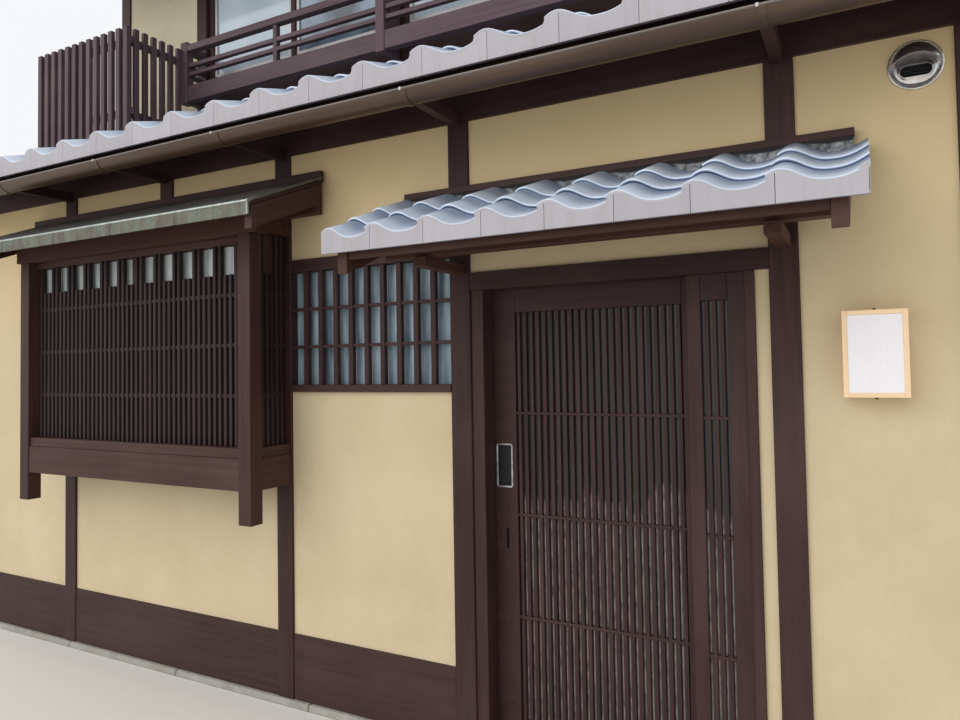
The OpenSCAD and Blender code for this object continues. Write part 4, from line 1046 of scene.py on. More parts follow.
def tiledRoof(name, roof):
    # courses of tiles from the eave up, with a tile cut or made to fit at each end
    low, pitch, course, slope = roof["low"], roof["pitch"], roof["course"], roof["slope"]
    crest = wave["height"] * pitch
    first = roof["firstTip"]
    width = roof["right"] - low[0]
    full = int((width - first) / pitch)
    spare = (width - first) / pitch - full
    lap = 1.0 + roof["sideLap"]
    # start and end as shares of the wave, how many, where the first tip lies, how much narrower
    if roof["madeToFit"]:
        runs = [(0.0, lap, full - 1, first, 1.0), (0.0, 1.0 + spare, 1, first + (full - 1) * pitch, 1.0),
                (0.0, lap, 1, 0.0, first / pitch)]
    else:
        runs = [(0.0, lap, full, first, 1.0), (0.0, spare, 1, first + full * pitch, 1.0),
                (1.0 - first / pitch, lap, 1, first - pitch, 1.0)]
    pieces = []
    for number, (start, end, count, tip, squeeze) in enumerate(runs):
        for eave in (True, False):
            back = 0.0 if eave else course
            loosePlace = roof["loosePlace"] * (0.3 if eave else 1.0)
            looseTurn = 0.0 if eave else roof["looseTurn"]
            pieces.append(rows(tileMesh(roof, start, end, squeeze, eave), "roof_tile",
                               roof["seed"] + 10 * number + int(eave),
                               (low[0] + tip, low[1] + back, low[2] - crest + back * slope), (count, pitch),
                               (1 if eave else roof["courses"] - 1, course, course * slope),
                               loosePlace, looseTurn))

    def heightAt(x):
        if roof["madeToFit"] and x < first:
            return waveHeight(x / first)
        if roof["madeToFit"] and x > first + (full - 1) * pitch:
            return waveHeight((x - first) / pitch - full + 1)
        return waveHeight((x - first) / pitch % 1.0)

    gap = roof["jointGap"] / 2
    firstJoint = first + roof["joint"] * pitch
    joints = int((width - firstJoint) / pitch)
    spans = [(0.0, firstJoint, 1), (firstJoint, firstJoint + pitch, joints),
             (firstJoint + joints * pitch, width, 1)]
    for number, (start, end, count) in enumerate(spans):
        steps = max(4, round(roof["steps"] * (end - start) / pitch))
        places = [start + gap + (end - start - 2 * gap) * i / steps for i in range(steps + 1)]
        front = frontMesh(roof, places, [heightAt(x) for x in places])
        pieces.append(rows(front, "roof_tile", roof["seed"] + 50 + number, (low[0], low[1], low[2] - crest),
                           (count, pitch)))
    return joined(name, pieces)


def roofFrame(roof, node, upperEdge=None):
    # where a roof's tiles start and how far apart its courses lie
    low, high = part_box(node)
    roof["low"] = (low.x, low.y, low.z + roof["nose"])
    roof["right"] = high.x
    roof["course"] = ((upperEdge or high.y) - low.y - roof["overlap"]) / roof["courses"]
    return roof


lowerRoof = roofFrame({
    "slope": 0.36,
    "pitch": 0.3005,
    "firstTip": 0.097,    # from the left end to the first whole tile
    "joint": 0.193,       # where two tile fronts meet, as a share of the pitch
    "jointGap": 0.002,
    "madeToFit": False,   # the end tiles are cut, not made to fit
    "plain": False,
    "courses": 6,
    "thick": 0.014,
    "lip": 0.005,
    "overlap": 0.05,
    "sideLap": 0.08,
    "nose": 0.125,        # the crests of the first course over the foot of the fronts
    "noseDepth": 0.016,
    "steps": 22,
    "loosePlace": 0.0012,
    "looseTurn": 0.004,
    "seed": 11,
}, "lower_roof_tiles")
canopyRoof = roofFrame(dict(lowerRoof, slope=0.42, pitch=0.2451, firstTip=0.2154, joint=0.1085, courses=3,
                            madeToFit=True, thick=0.013, nose=0.092, steps=26, loosePlace=0.0008,
                            looseTurn=0.003, seed=31), "canopy_tiles")
ridge = {
    "halfWidth": 0.13,
    "height": 0.21,       # over the crests
    "layers": 4,
    "layerStep": 0.0385,
    "layerIn": 0.005,     # how much narrower each layer is than the one below
    "layerLength": 0.303,
    "layerThick": 0.78,   # as a share of the step
    "coreIn": 0.022,      # how far the core lies behind the lowest layer
    "capRadius": 0.088,
    "capLength": 0.308,
    "capThick": 0.014,
    "capNarrows": 0.008,
    "capLap": 0.03,
    "endHalf": 0.015,     # half the thickness of the end plates, and how far their middle
    "endOut": 0.003,      # lies outside the tiles
}
mainLow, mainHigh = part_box("main_roof_tiles")
ridgeY = (mainLow.y + mainHigh.y) / 2
ridgeFoot = mainHigh.z - ridge["height"] - 0.02
mainRoof = roofFrame(dict(lowerRoof, slope=0.45, courses=18, plain=True, steps=9, seed=71),
                     "main_roof_tiles", ridgeY - ridge["halfWidth"] + 0.05)


def settleBoth(piece, backName, slot, *nodes):
    # settles a piece and its copy on the back slope, turned about the middle of the ridge
    mesh = piece.data.copy()
    mesh.transform(Matrix.Translation((0, ridgeY, 0)) @ Matrix.Rotation(math.pi, 4, "Z")
                   @ Matrix.Translation((0, -ridgeY, 0)))
    settle(piece, slot, *nodes)
    settle(linked(backName, mesh), slot)


settle(tiledRoof("lower_roof_tiling", lowerRoof), "roof_tile", "lower_roof_tiles")
settle(tiledRoof("canopy_tiling", canopyRoof), "roof_tile", "canopy_tiles")
settleBoth(tiledRoof("main_front_tiling", mainRoof), "main_back_tiling", "roof_tile", "main_roof_tiles")


def ridgeLayers():
    # flat layers with their joints half a tile apart from one to the next
    boxes = []
    for layer in range(ridge["layers"]):
        half = ridge["halfWidth"] - ridge["layerIn"] * layer
        z = ridgeFoot + ridge["layerStep"] * layer
        x = mainLow.x + 0.01
        length = ridge["layerLength"] * (0.5 if layer % 2 else 1.0)
        while x < mainHigh.x - 0.02:
            end = min(x + length, mainHigh.x - 0.01)
            for side in (-1, 1):
                near, far = sorted((ridgeY + side * 0.02, ridgeY + side * half))
                boxes.append(((x, near, z), (end - 0.002, far, z + ridge["layerStep"] * ridge["layerThick"])))
            x = end
            length = ridge["layerLength"]
    return boxes


def ridgeCore():
    top = ridgeFoot + ridge["layerStep"] * ridge["layers"]
    half = ridge["halfWidth"] - ridge["coreIn"]
    return [((mainLow.x + 0.015, ridgeY - half, ridgeFoot - 0.08),
             (mainHigh.x - 0.015, ridgeY + half, top - 0.008))]


def ridgeCaps():
    # half-round covers along X that narrow a little, open below
    radius, narrows, steps = ridge["capRadius"], ridge["capNarrows"], 10
    count = round((mainHigh.x - mainLow.x) / (ridge["capLength"] - 0.008))
    step = (mainHigh.x - mainLow.x - 0.02) / count
    arc = [math.pi * i / steps for i in range(steps + 1)]
    points = []
    for x, outer in ((0.0, radius), (step + ridge["capLap"], radius - narrows)):
        for size, turns in ((outer, arc), (outer - ridge["capThick"], arc[::-1])):
            points += [(x, -math.cos(turn) * size, math.sin(turn) * size) for turn in turns]
    cap = closedPiece("ridge_caps", points, sheetFaces(steps, 2))
    return rows(cap, "roof_tile", 91, (mainLow.x + 0.01, ridgeY, mainHigh.z - radius), (count, step),
                loosePlace=0.001, looseTurn=0.003)


def ridgeEnds():
    # an upright plate with rounded shoulders closes each end of the ridge
    outline = [(-0.165, -0.11), (0.165, -0.11), (0.150, 0.04)]
    for i in range(13):
        turn = math.pi * i / 12
        outline.append((math.cos(turn) * 0.118, 0.115 + math.sin(turn) * 0.108))
    outline.append((-0.150, 0.04))
    half, out = ridge["endHalf"], ridge["endOut"]
    points, faces = [], []
    for middle in (mainLow.x - out, mainHigh.x + out):
        faces += loftFaces(len(outline), 4, len(points))
        for x, size in ((-half, 0.93), (0.006 - half, 1.0), (half - 0.006, 1.0), (half, 0.93)):
            points += [(middle + x, ridgeY + y * size, ridgeFoot + 0.01 + z * size) for y, z in outline]
    return closedPiece("ridge_end_tiles", points, faces)


settle(membersPiece("ridge_layers", ridgeLayers(), 0.004, 81), "roof_tile")
settle(membersPiece("ridge_bedding", ridgeCore(), 0.004, 82), "plaster_side")
settle(ridgeCaps(), "roof_tile")
settle(ridgeEnds(), "roof_tile")


verge = {
    "wide": 0.016,
    "deep": 0.105,
    "over": 0.013,      # how far a plate stands out over the end of the roof
    "lap": 0.030,       # length under the next plate, and how much flatter it lies for that
    "flatter": 0.09,
    "back": 0.004,
    "down": 0.012,
}


def vergePlates(name, roof):
    # plates that hang over the ends of the roof boards, one to each course
    course, wide, over = roof["course"], verge["wide"], verge["over"]
    pieces = []
    for number, x in enumerate((roof["low"][0] - over, roof["right"] + over - wide)):
        points, faces = chamferedBox((0.0, 0.0, -verge["deep"]), (wide, course + verge["lap"], 0.0), 0.003)
        plate = closedPiece("vergeSeed", sheared(points, roof["slope"] - verge["flatter"], 0.0), faces)
        pieces.append(rows(plate, "roof_tile", roof["seed"] + 90 + number,
                           (x, roof["low"][1] + verge["back"], roof["low"][2] - verge["down"]),
                           up=(roof["courses"], course, course * roof["slope"]),
                           loosePlace=0.001, looseTurn=0.003))
    return joined(name, pieces)


settle(vergePlates("lower_roof_verges", lowerRoof), "roof_tile")
settleBoth(vergePlates("main_front_verges", mainRoof), "main_back_verges", "roof_tile")
print("roofs tiled")


def boardedSlope(name, deck, low, right, upperEdge):
    # boards along the eave in rows up the slope, their end joints in turn at a half and at thirds
    reach, slope = upperEdge - low[1], deck["slope"]
    count = round(reach / deck["board"])
    step = reach / count
    pieces = []
    for turn, across in ((0, 2), (1, 3)):
        length = (right - low[0]) / across
        size = (length - deckGap, step - deckGap, deck["thick"])
        points, faces = chamferedBox((0.0, 0.0, 0.0), size, 0.003)
        board = closedPiece("boardSeed", sheared(points, slope, 0.0), faces,
                            grain=[(1.0, 0.0, 0.0)] * len(points))
        pieces.append(rows(board, slotOf[deck["node"]], deck["seed"] + turn,
                           (low[0], low[1] + turn * step, low[2] + turn * step * slope), (across, length),
                           ((count + 1 - turn) // 2, 2 * step, 2 * step * slope), 0.0004))
    return joined(name, pieces)


deckGap = 0.002
# board is the width of one board
decks = {
    "lower_roof_boarding": {"node": "lower_roof_boards", "slope": lowerRoof["slope"], "thick": 0.026,
                            "board": 0.18, "seed": 201},
    "canopy_boarding": {"node": "canopy_boards", "slope": canopyRoof["slope"], "thick": 0.024,
                        "board": 0.12, "seed": 211},
    "upper_floor_boards": {"node": "upper_floor", "slope": 0.0, "thick": 0.06, "board": 0.15, "seed": 221},
}
for name, deck in decks.items():
    low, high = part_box(deck["node"])
    settle(boardedSlope(name, deck, low, high.x, high.y), slotOf[deck["node"]], deck["node"])
mainDeck = {"node": "main_roof_boards", "slope": mainRoof["slope"], "thick": 0.026, "board": 0.2, "seed": 231}
deckLow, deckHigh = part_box("main_roof_boards")
deckLow.z = mainLow.z
settleBoth(boardedSlope("main_front_boarding", mainDeck, deckLow, deckHigh.x, ridgeY - 0.02),
           "main_back_boarding", "stained_wood", "main_roof_boards")


barge = {
    "from": 0.09,       # behind the edge of the roof boards
    # the board and the strip along its top: inner and outer side, lower and upper edge
    "layers": ((0.0, 0.030, -0.150, -0.001), (-0.012, 0.004, -0.055, 0.012)),
}


def bargeBoards():
    start, end, slope = deckLow.y + barge["from"], ridgeY - 0.02, mainRoof["slope"]
    under = mainLow.z + slope * (start - deckLow.y)
    members = []
    for side in (-1, 1):
        for inner, outer, low, high in barge["layers"]:
            left, right = sorted((side * (mainHigh.x - inner), side * (mainHigh.x - outer)))
            members.append(((left, start, under + low), (right, end, under + high),
                            Vector((0, 1, slope)).normalized(), 0.3 + 0.2 * side))
    points, faces, values = boxMesh(members, 0.003, slope, start)
    return closedPiece("main_front_bargeboards", points, faces, **values)


settleBoth(bargeBoards(), "main_back_bargeboards", "stained_wood")
print("roof boards laid")


def extrudedAlong(name, outline, x0, x1, **values):
    # an outline in Y and Z drawn out along X, closed at both ends
    points = [(x, y, z) for x in (x0, x1) for y, z in outline]
    doubled = {key: list(value) * 2 for key, value in values.items()}
    return closedPiece(name, points, loftFaces(len(outline), 2), **doubled)


copper = {
    "panel": 0.474,       # width of a sheet
    "seam": 0.012,        # width of the lap between two sheets
    "lift": 0.0016,       # how far a lap stands up
    "thick": 0.012,
    "bead": 0.008,        # radius of the rolled upper edge
    "slope": 0.42,
    "edge": 0.070,        # height of the front
    "fold": 0.010,        # bright fold at each end, and how far it stands out
    "foldOut": 0.0015,
}
bayLow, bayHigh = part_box("bay_roof")


def copperOutline(lift):
    y0, slope, thick, bead = bayLow.y, copper["slope"], copper["thick"], copper["bead"]
    top = bayLow.z + copper["edge"]
    far = top + (bayHigh.y - y0) * slope
    outline = [(y0 + 0.010, bayLow.z), (y0 + 0.001 - lift, bayLow.z), (y0 + 0.001 - lift, top - 2.2 * bead)]
    bright, behind = [0.0, 0.0, 0.0], [0.0, 0.0, 0.0]
    # painted highlight on the rolled edge, painted dark reflection on the top behind it
    for i in range(9):
        turn = math.radians(235 - i * 215 / 8)
        outline.append((y0 + bead + math.cos(turn) * (bead + lift),
                        top - bead + math.sin(turn) * (bead + lift)))
        bright.append(1.0 if 2 <= i <= 5 else 0.25)
        behind.append(float(i > 6))
    outline += [(y0 + 0.05, top + 0.05 * slope - 0.002 + lift), (bayHigh.y, far - 0.002 + lift),
                (bayHigh.y, far - thick), (y0 + 0.018, top + 0.018 * slope - thick - 0.004),
                (y0 + 0.010, top - thick - 0.006)]
    return outline, {"edge": bright + [0.0] * 5, "behind": behind + [1.0] * 5}


def copperSheets():
    # the sheets, the laps over their seams, and a fold at each end
    width = bayHigh.x - bayLow.x
    count = round(width / copper["panel"])
    step = width / count
    outline, look = copperOutline(0.0)
    lapOutline, lapLook = copperOutline(copper["lift"])
    rest = len(outline) - 10
    # painted highlight on the folds' fronts, painted dark reflection on their tops
    foldLook = {"edge": [0.5] * 10 + [0.1] * rest, "behind": [0.0] * 10 + [0.6] * rest}
    seam, fold, out = copper["seam"], copper["fold"], copper["foldOut"]
    pieces = []
    for number, (shape, values, start, wide, laps) in enumerate((
            (outline, look, 0.0, step, count),
            (lapOutline, lapLook, step - seam / 2, seam, count - 1),
            (lapOutline, foldLook, -out, fold, 1),
            (lapOutline, foldLook, width + out - fold, fold, 1))):
        sheet = extrudedAlong("sheetSeed", shape, 0.0, wide, **values)
        pieces.append(rows(sheet, "weathered_copper", 300 + number, (bayLow.x + start, 0.0, 0.0),
                           (laps, step)))
    return joined("bay_copper_sheets", pieces)


bayTimber = {
    "under": 0.025,       # behind and under the edge of the copper
    "thick": 0.0215,
    "inset": 0.02,        # from each end of the copper
    # end board and cover strip: outwards, width, foot and top over the underside
    "ends": ((-0.002, 0.016, 0.001, 0.021), (0.006, 0.008, 0.004, 0.012)),
    "endsFrom": 0.018,    # how far the ends reach before the boards
}


def bayRoofTimber():
    # boards under the copper and a board with a cover strip at each end
    start = bayLow.y + bayTimber["under"]
    under = bayLow.z + copper["edge"] - bayTimber["under"]
    boards = [((bayLow.x + bayTimber["inset"], start, under),
               (bayHigh.x - bayTimber["inset"], bayHigh.y, under + bayTimber["thick"]), (1.0, 0.0, 0.0))]
    uphill = Vector((0, 1, copper["slope"])).normalized()
    for side, x in ((-1, bayLow.x), (1, bayHigh.x)):
        for out, wide, drop, rise in bayTimber["ends"]:
            left, right = sorted((x + side * out, x + side * (out - wide)))
            boards.append(((left, start - bayTimber["endsFrom"], under + drop),
                           (right, bayHigh.y, under + rise), uphill))
    members = [(*board, 0.15 * number) for number, board in enumerate(boards)]
    points, faces, values = boxMesh(members, 0.002, copper["slope"], start)
    return closedPiece("bay_roof_timber", points, faces, **values)


settle(copperSheets(), "weathered_copper", "bay_roof")
settle(bayRoofTimber(), "stained_wood")
print("bay roof covered")


def crestHeight(roof, y):
    return roof["low"][2] + roof["slope"] * (y - roof["low"][1])


# front is the board's face, under its lower edge; end is how far it stops short at the right
# shade paints the top of the bed dark, as shadow under the board
mortarBeds = {
    "canopy_mortar": {"roof": canopyRoof, "front": -0.040, "depth": 0.05, "end": 0.041, "shade": 1.0,
                      "under": crestHeight(canopyRoof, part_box("canopy_tiles")[1].y) - 0.018},
    "lower_roof_mortar": {"roof": lowerRoof, "front": 1.001, "depth": 0.06, "end": 0.0, "shade": 0.0,
                          "under": crestHeight(lowerRoof, 1.001)},
}


def mortarBed(name, bed):
    # mortar that fills the valleys between the last tiles and the board on the wall
    roof, front, depth = bed["roof"], bed["front"], bed["depth"]
    pitch, left = roof["pitch"], roof["low"][0]
    crest = wave["height"] * pitch
    rise = roof["slope"] * (front - depth - roof["low"][1]) - crest
    width = roof["right"] - left
    steps = round(width / pitch * 12)
    random = np.random.default_rng(roof["seed"] + 5)
    points, over = [], []
    for i in range(steps + 1):
        x = 0.004 + (width - 0.008 - bed["end"]) * i / steps
        height = waveHeight((x - roof["firstTip"]) / pitch % 1.0)
        tileTop = roof["low"][2] + rise + height * crest
        fill = max(bed["under"] + 0.004, tileTop + 0.002) - tileTop
        bulge = depth * (0.12 + (1.0 - height) * (0.30 + 0.45 * random.random()))
        # painted shadow: darker over the crests, and under the board where shade is set
        crestShade = min(1.0, max(0.0, 1.6 - 1.8 * (1.0 - height)))
        over += [crestShade] * 3 + [max(crestShade, bed["shade"])] * 2
        section = ((0.004, -0.02), (-bulge, -0.02), (-bulge * 0.9, fill * 0.38), (-bulge * 0.5, fill * 0.56),
                   (0.004, fill))
        points += [(left + x, front + y, tileTop + z) for y, z in section]
    return closedPiece(name, points, loftFaces(5, steps + 1), over=over)


for name, bed in mortarBeds.items():
    settle(mortarBed(name, bed), "plaster_side", surface="infillMortar")


def lathed(name, profile, steps, place):
    # a profile of radii and heights, turned about Z and then put in its place
    points = []
    for radius, high in profile:
        for i in range(steps):
            turn = 2 * math.pi * i / steps
            points.append(place @ Vector((math.cos(turn) * radius, math.sin(turn) * radius, high)))
    return closedPiece(name, points, loftFaces(steps, len(profile))[:-2])


lamp = {
    "frame": 0.0165,
    "frontDepth": 0.020,      # the panel's front behind the frame's, and its back before it
    "panelBack": 0.004,
    "knobBack": 0.03,
    "knob": [(0.0, -0.002), (0.006, -0.002), (0.006, 0.003), (0.0042, 0.006), (0.0, 0.0066)],
}


def wallLamp():
    low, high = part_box("lamp")
    wide = lamp["frame"]
    boxes = [((x0, low.y, low.z), (x1, high.y, high.z))
             for x0, x1 in ((low.x, low.x + wide), (high.x - wide, high.x))]
    boxes += [((low.x + wide, low.y, z0), (high.x - wide, high.y, z1))
              for z0, z1 in ((low.z, low.z + wide), (high.z - wide, high.z))]
    settle(membersPiece("lamp_frame", boxes, 0.0015, 401), "lamp_body", "lamp")
    wide -= 0.001
    panel = [((low.x + wide, low.y + lamp["panelBack"], low.z + wide),
              (high.x - wide, low.y + lamp["frontDepth"], high.z - wide))]
    settle(membersPiece("lamp_panel", panel, 0.001, 402), "lamp_body", surface="lampPanel")
    knobs = []
    for end, way in ((low.z, -1), (high.z, 1)):
        place = Matrix.Translation(((low.x + high.x) / 2, low.y + lamp["knobBack"], end))
        knobs.append(lathed("knob", lamp["knob"], 16, place @ Matrix.Scale(way, 4, (0, 0, 1))))
    settle(joined("lamp_knobs", knobs), "lamp_body", surface="darkHollow")


hood = {
    "flange": [(0.0, 0.0), (0.0865, 0.0), (0.0865, 0.004), (0.0850, 0.0075), (0.0815, 0.0095),
               (0.0775, 0.0090), (0.0745, 0.0065), (0.070, 0.0045), (0.0, 0.0045)],
    "lidRadius": 0.0800,
    "lidDepth": 0.046,
    "lidEdge": 0.030,      # height of the lid's edge at the middle
    "lidThick": 0.0016,
    "lidBack": 0.006,
    "bowlRadius": 0.0745,
    # from the rim to the slot, then into it: share of the way, depth
    "bowl": [(0.0, 0.002), (0.0, 0.006), (0.35, 0.0045), (0.7, 0.008), (0.92, 0.0135), (1.0, 0.0145),
             (1.06, 0.013), (1.08, 0.006), (1.08, 0.0050)],
    # rings from hollowFrom on get painted shade inside the slot
    "hollowFrom": 6,
    "slotHalf": (0.049, 0.020),
    "slotDown": 0.022,
    "bladeStep": 0.0125,
    "bladeHalf": 0.0012,
    "bladeDepths": (0.0125, 0.0045),
    "steps": 48,
}


def bowlPoint(i, share):
    # a point between the flange and the rounded slot, or a little inside the slot
    turn = 2 * math.pi * (i + 0.5) / hood["steps"]
    halfLong, halfHigh = hood["slotHalf"]
    straight = math.copysign(halfLong - halfHigh, math.cos(turn))
    radius = halfHigh * (2.0 - share if share > 1 else 1.0)
    slot = Vector((straight + math.cos(turn) * radius, math.sin(turn) * radius - hood["slotDown"]))
    rim = Vector((math.cos(turn) * hood["bowlRadius"], math.sin(turn) * hood["bowlRadius"]))
    return rim.lerp(slot, min(share, 1.0))


def ventHood():
    low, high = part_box("vent_hood")
    centre = Vector(((low.x + high.x) / 2, high.y, (low.z + high.z) / 2))
    facing = Matrix.Translation(centre) @ Matrix.Rotation(math.pi / 2, 4, "X")
    flange = lathed("flange", hood["flange"], 64, facing)

    def at(x, depth, z):
        return (centre.x + x, centre.y - depth, centre.z + z)

    # the lid, a part of a dome cut off along an arc
    radius, steps, down, thick = hood["lidRadius"], hood["steps"], 14, hood["lidThick"]
    shrink = 1 - thick / radius
    outer, inner = [], []
    for i in range(steps + 1):
        x = -radius * math.cos(math.pi * i / steps)
        rim = math.sqrt(max(0.0, radius ** 2 - x ** 2))
        foot = hood["lidEdge"] * (1 - (x / radius) ** 2)
        for j in range(down + 1):
            z = rim + (foot - rim) * (j / down)
            swell = math.sqrt(max(0.0, 1 - (x ** 2 + z ** 2) / radius ** 2))
            outer.append(at(x, hood["lidBack"] + hood["lidDepth"] * swell, z))
            inner.append(at(x * shrink, hood["lidBack"] + (hood["lidDepth"] - thick) * swell, z * shrink))
    lid = shellPiece("lid", outer, inner, steps + 1, down + 1)

    points, hollow = [], []
    for number, (share, depth) in enumerate(hood["bowl"]):
        points += [at(x, depth, z) for x, z in (bowlPoint(i, share) for i in range(steps))]
        # painted shade on the rings inside the slot
        hollow += [float(number >= hood["hollowFrom"])] * steps
    bowl = closedPiece("bowl", points, loftFaces(steps, len(hood["bowl"])), hollow=hollow)
    settle(joined("vent_hood_cover", [bowl, flange, lid]), "vent_steel", "vent_hood")

    # the blades are near black: painted shade inside the slot
    half, (front, back) = hood["bladeHalf"], hood["bladeDepths"]
    blades = []
    for number in (-1, 0, 1):
        z = number * hood["bladeStep"] - hood["slotDown"]
        wide = hood["slotHalf"][0] * (0.88 if number else 0.98)
        blades.append((at(-wide, front, z - half), at(wide, back, z + half)))
    settle(membersPiece("vent_hood_blades", blades, 0.0008, 410), "vent_steel", surface="darkHollow")


def shellPiece(name, outer, inner, across, up):
    # two sheets of the same grid, closed all round
    size = len(outer)
    faces = []
    for i in range(across - 1):
        for j in range(up - 1):
            a, b = i * up + j, (i + 1) * up + j
            faces.append([a, b, b + 1, a + 1])
            faces.append([size + a + 1, size + b + 1, size + b, size + a])
    border = [i * up for i in range(across)] + [(across - 1) * up + j for j in range(1, up)]
    border += [i * up + up - 1 for i in range(across - 2, -1, -1)] + list(range(up - 2, 0, -1))
    for here, after in zip(border, border[1:] + border[:1]):
        faces.append([after, here, size + here, size + after])
    return closedPiece(name, outer + inner, faces)


settle(recessedPlate("door_pull_dish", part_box("door_pull"), pull), "pull_metal", "door_pull", body="door")
settle(recessedPlate("door_key_plate", keyBox, keyPlate), "pull_metal", body="door", surface="darkHollow")
wallLamp()
ventHood()
print("fittings made")

sash = {"wide": 0.028, "front": 0.012, "back": 0.014, "gap": 0.001}


def sashes(name, node, seed):
    # a thin metal frame round each pane
    wide, gap = sash["wide"], sash["gap"]
    boxes = []
    for low, high in boxesOf(node, "z"):
        y0, y1 = low[1] - sash["front"], high[1] + sash["back"]
        x0, x1, z0, z1 = low[0] + gap, high[0] - gap, low[2] + gap, high[2] - gap
        boxes += [((x0, y0, z0), (x0 + wide, y1, z1)), ((x1 - wide, y0, z0), (x1, y1, z1)),
                  ((x0 + wide, y0, z0), (x1 - wide, y1, z0 + wide)),
                  ((x0 + wide, y0, z1 - wide), (x1 - wide, y1, z1))]
    settle(membersPiece(name, boxes, 0.0012, seed), "vent_steel", surface="anodizedSash")


sashes("upper_window_sashes", "upper_glass", 420)
sashes("back_window_sashes", "back_glass", 421)

kerb = {"length": 0.91, "gap": 0.004, "depth": 0.14}


def kerbStones():
    # long kerb stones at front and back of a plain inner slab
    low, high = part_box("foundation")
    depth, gap = kerb["depth"], kerb["gap"]
    count = round((high.x - low.x) / kerb["length"])
    step = (high.x - low.x) / count
    boxes = []
    for y0, y1 in ((low.y, low.y + depth), (high.y - depth, high.y)):
        boxes += [((low.x + i * step, y0, low.z), (low.x + (i + 1) * step - gap, y1, high.z))
                  for i in range(count)]
    boxes.append(((low.x, low.y + depth + gap, low.z), (high.x, high.y - depth - gap, high.z)))
    return membersPiece("kerb_stones", boxes, 0.006, 430)


settle(kerbStones(), "kerb_stone", "foundation")

gutter = {
    "radius": 0.055,
    "mainOut": 0.02,        # the main roof's gutters: behind the tiles' edge, and below it
    "mainDown": 0.049,
    "beadRadius": 0.0055,
    "beadSteps": 10,
    "clips": (-1.095, -0.197, 0.897, 2.275),    # at the joints of the lower gutter
    "clipHalf": 0.006,
    "clipOut": 0.0045,
    "clipBack": 0.010,
    "clipLow": 0.010,       # under and over the lip
    "clipHigh": 0.0045,
}
gutterLow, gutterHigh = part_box("gutter")
lipHeight = gutterLow.z + gutter["radius"]


def gutterBeads():
    # the rolled lips of the gutters and their sleeves
    radius, size, steps = gutter["radius"], gutter["beadRadius"], gutter["beadSteps"]
    mainY = mainLow.y + gutter["mainOut"]
    mainZ = mainLow.z - gutter["mainDown"]
    pieces = []
    for y, z in ((gutterLow.y + radius, lipHeight), (mainY, mainZ), (2 * ridgeY - mainY, mainZ)):
        for side in (-1, 1):
            middle = y + side * (radius - 0.001)
            turns = [2 * math.pi * i / steps for i in range(steps)]
            outline = [(middle + math.cos(turn) * size, z - 0.003 + math.sin(turn) * size) for turn in turns]
            pieces.append(extrudedAlong("bead", outline, gutterLow.x, gutterHigh.x))
    return joined("gutter_beads", pieces)


def clipPieces():
    half, y = gutter["clipHalf"], gutterLow.y
    boxes = [((x - half, y - gutter["clipOut"], lipHeight - gutter["clipLow"]),
              (x + half, y + gutter["clipBack"], lipHeight + gutter["clipHigh"])) for x in gutter["clips"]]
    return membersPiece("gutter_clips", boxes, 0.002, 440)


# the gutters' lips carry a painted highlight
settle(gutterBeads(), "gutter_metal", surface="litGutterLip")
settle(clipPieces(), "gutter_metal", surface="anodizedSash")
print("trim made")

streetCamera = {
    "place": (2.559, -2.880, 1.735),
    "turn": 27.902,        # degrees left of straight into the house
    "tilt": 1.919,
    "roll": -0.96,
    "lens": 27.147,
    "shift": (-5.94 / 960, -18.26 / 960),
}


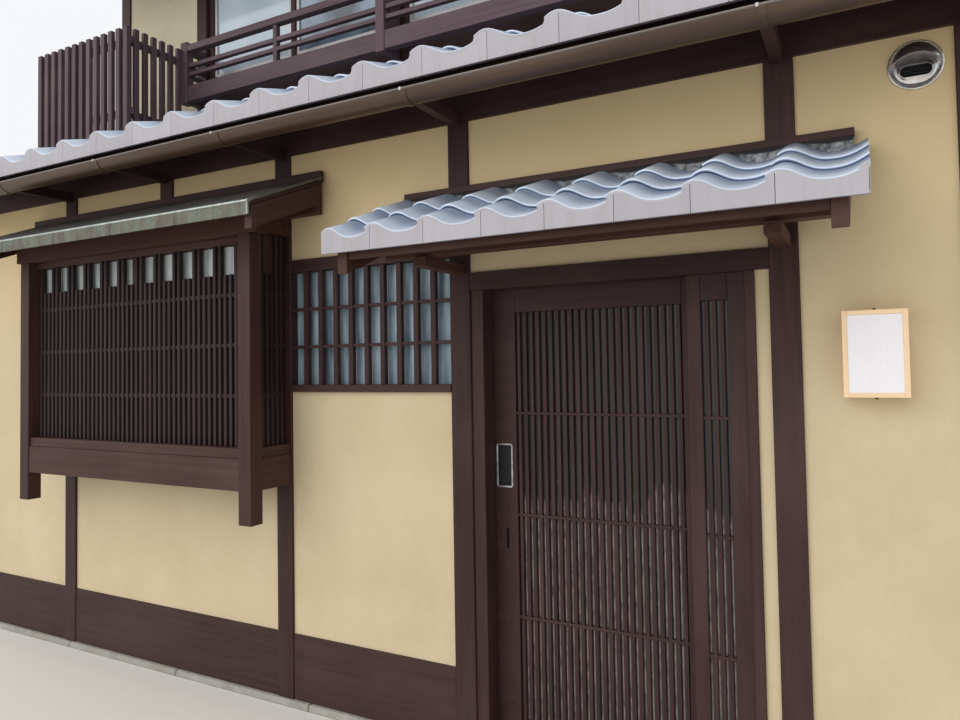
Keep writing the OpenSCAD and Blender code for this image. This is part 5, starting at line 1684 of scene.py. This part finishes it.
def addCamera():
    turn, tilt, roll = (math.radians(streetCamera[key]) for key in ("turn", "tilt", "roll"))
    ahead = Vector((-math.sin(turn) * math.cos(tilt), math.cos(turn) * math.cos(tilt), math.sin(tilt)))
    level = Vector((math.cos(turn), math.sin(turn), 0.0))
    upright = level.cross(ahead)
    right = level * math.cos(roll) + upright * math.sin(roll)
    up = upright * math.cos(roll) - level * math.sin(roll)
    data = bpy.data.cameras.new("streetView")
    data.lens = streetCamera["lens"]
    data.sensor_width = 36.0
    data.shift_x, data.shift_y = streetCamera["shift"]
    data.clip_end = 200.0
    camera = linked("streetView", data)
    turned = Matrix((right, up, -ahead)).transposed().to_4x4()
    camera.matrix_world = Matrix.Translation(streetCamera["place"]) @ turned
    scene.camera = camera


studio = {
    "floor": ((0.70, 0.69, 0.665), (0.73, 0.72, 0.695)),
    "floorSize": 60.0,
    "sky": (0.99, 0.965, 0.915),
    "skyStrength": 0.95,
    "backdrop": (0.92, 0.94, 0.96),      # what the camera and reflections see of the sky
    "sunStrength": 1.35,
    "sunSoftness": 60.0,
    "sunFrom": (-0.50, -0.95, 0.75),
}


def studioFloor(tree, place, look):
    cloud = tree.noise(place, 0.8, 3.0, 0.5)
    return {
        "Base Color": tree.mixed(cloud, *look),
        "Roughness": tree.spread(cloud, 0.3, 0.7, 0.75, 0.85),
    }


def addStudio():
    half = studio["floorSize"] / 2
    corners = [(-half, -half, 0), (half, -half, 0), (half, half, 0), (-half, half, 0)]
    floor = meshPiece("studioFloor", corners, [[0, 1, 2, 3]])
    floor.data.materials.append(finish("studioFloor", studioFloor, studio["floor"]))
    floor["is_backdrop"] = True
    sun = linked("softSun", bpy.data.lights.new("softSun", "SUN"))
    sun.data.energy = studio["sunStrength"]
    sun.data.angle = math.radians(studio["sunSoftness"])
    sun.rotation_euler = Vector(studio["sunFrom"]).to_track_quat("Z", "Y").to_euler()
    world = bpy.data.worlds.new("studioSky")
    world.use_nodes = True
    world.node_tree.nodes.clear()
    tree = Tree(world.node_tree)
    direct, glossy, through = (tree.node("ShaderNodeLightPath", None, None, f"Is {kind} Ray")
                               for kind in ("Camera", "Glossy", "Transmission"))
    seen = tree.maths("ADD", direct + glossy, through, use_clamp=True)
    lit = tree.node("ShaderNodeBackground", None, {"Color": studio["sky"], "Strength": studio["skyStrength"]})
    shown = tree.node("ShaderNodeBackground", None, {"Color": studio["backdrop"], "Strength": 1.0})
    both = tree.node("ShaderNodeMixShader", None, {0: seen, 1: lit, 2: shown})
    tree.node("ShaderNodeOutputWorld", None, {"Surface": both})
    scene.world = world


addCamera()
addStudio()
scene.view_settings.view_transform = "Standard"
print("camera and studio set")

boxes = {"cad": cadBox, "visual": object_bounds()}
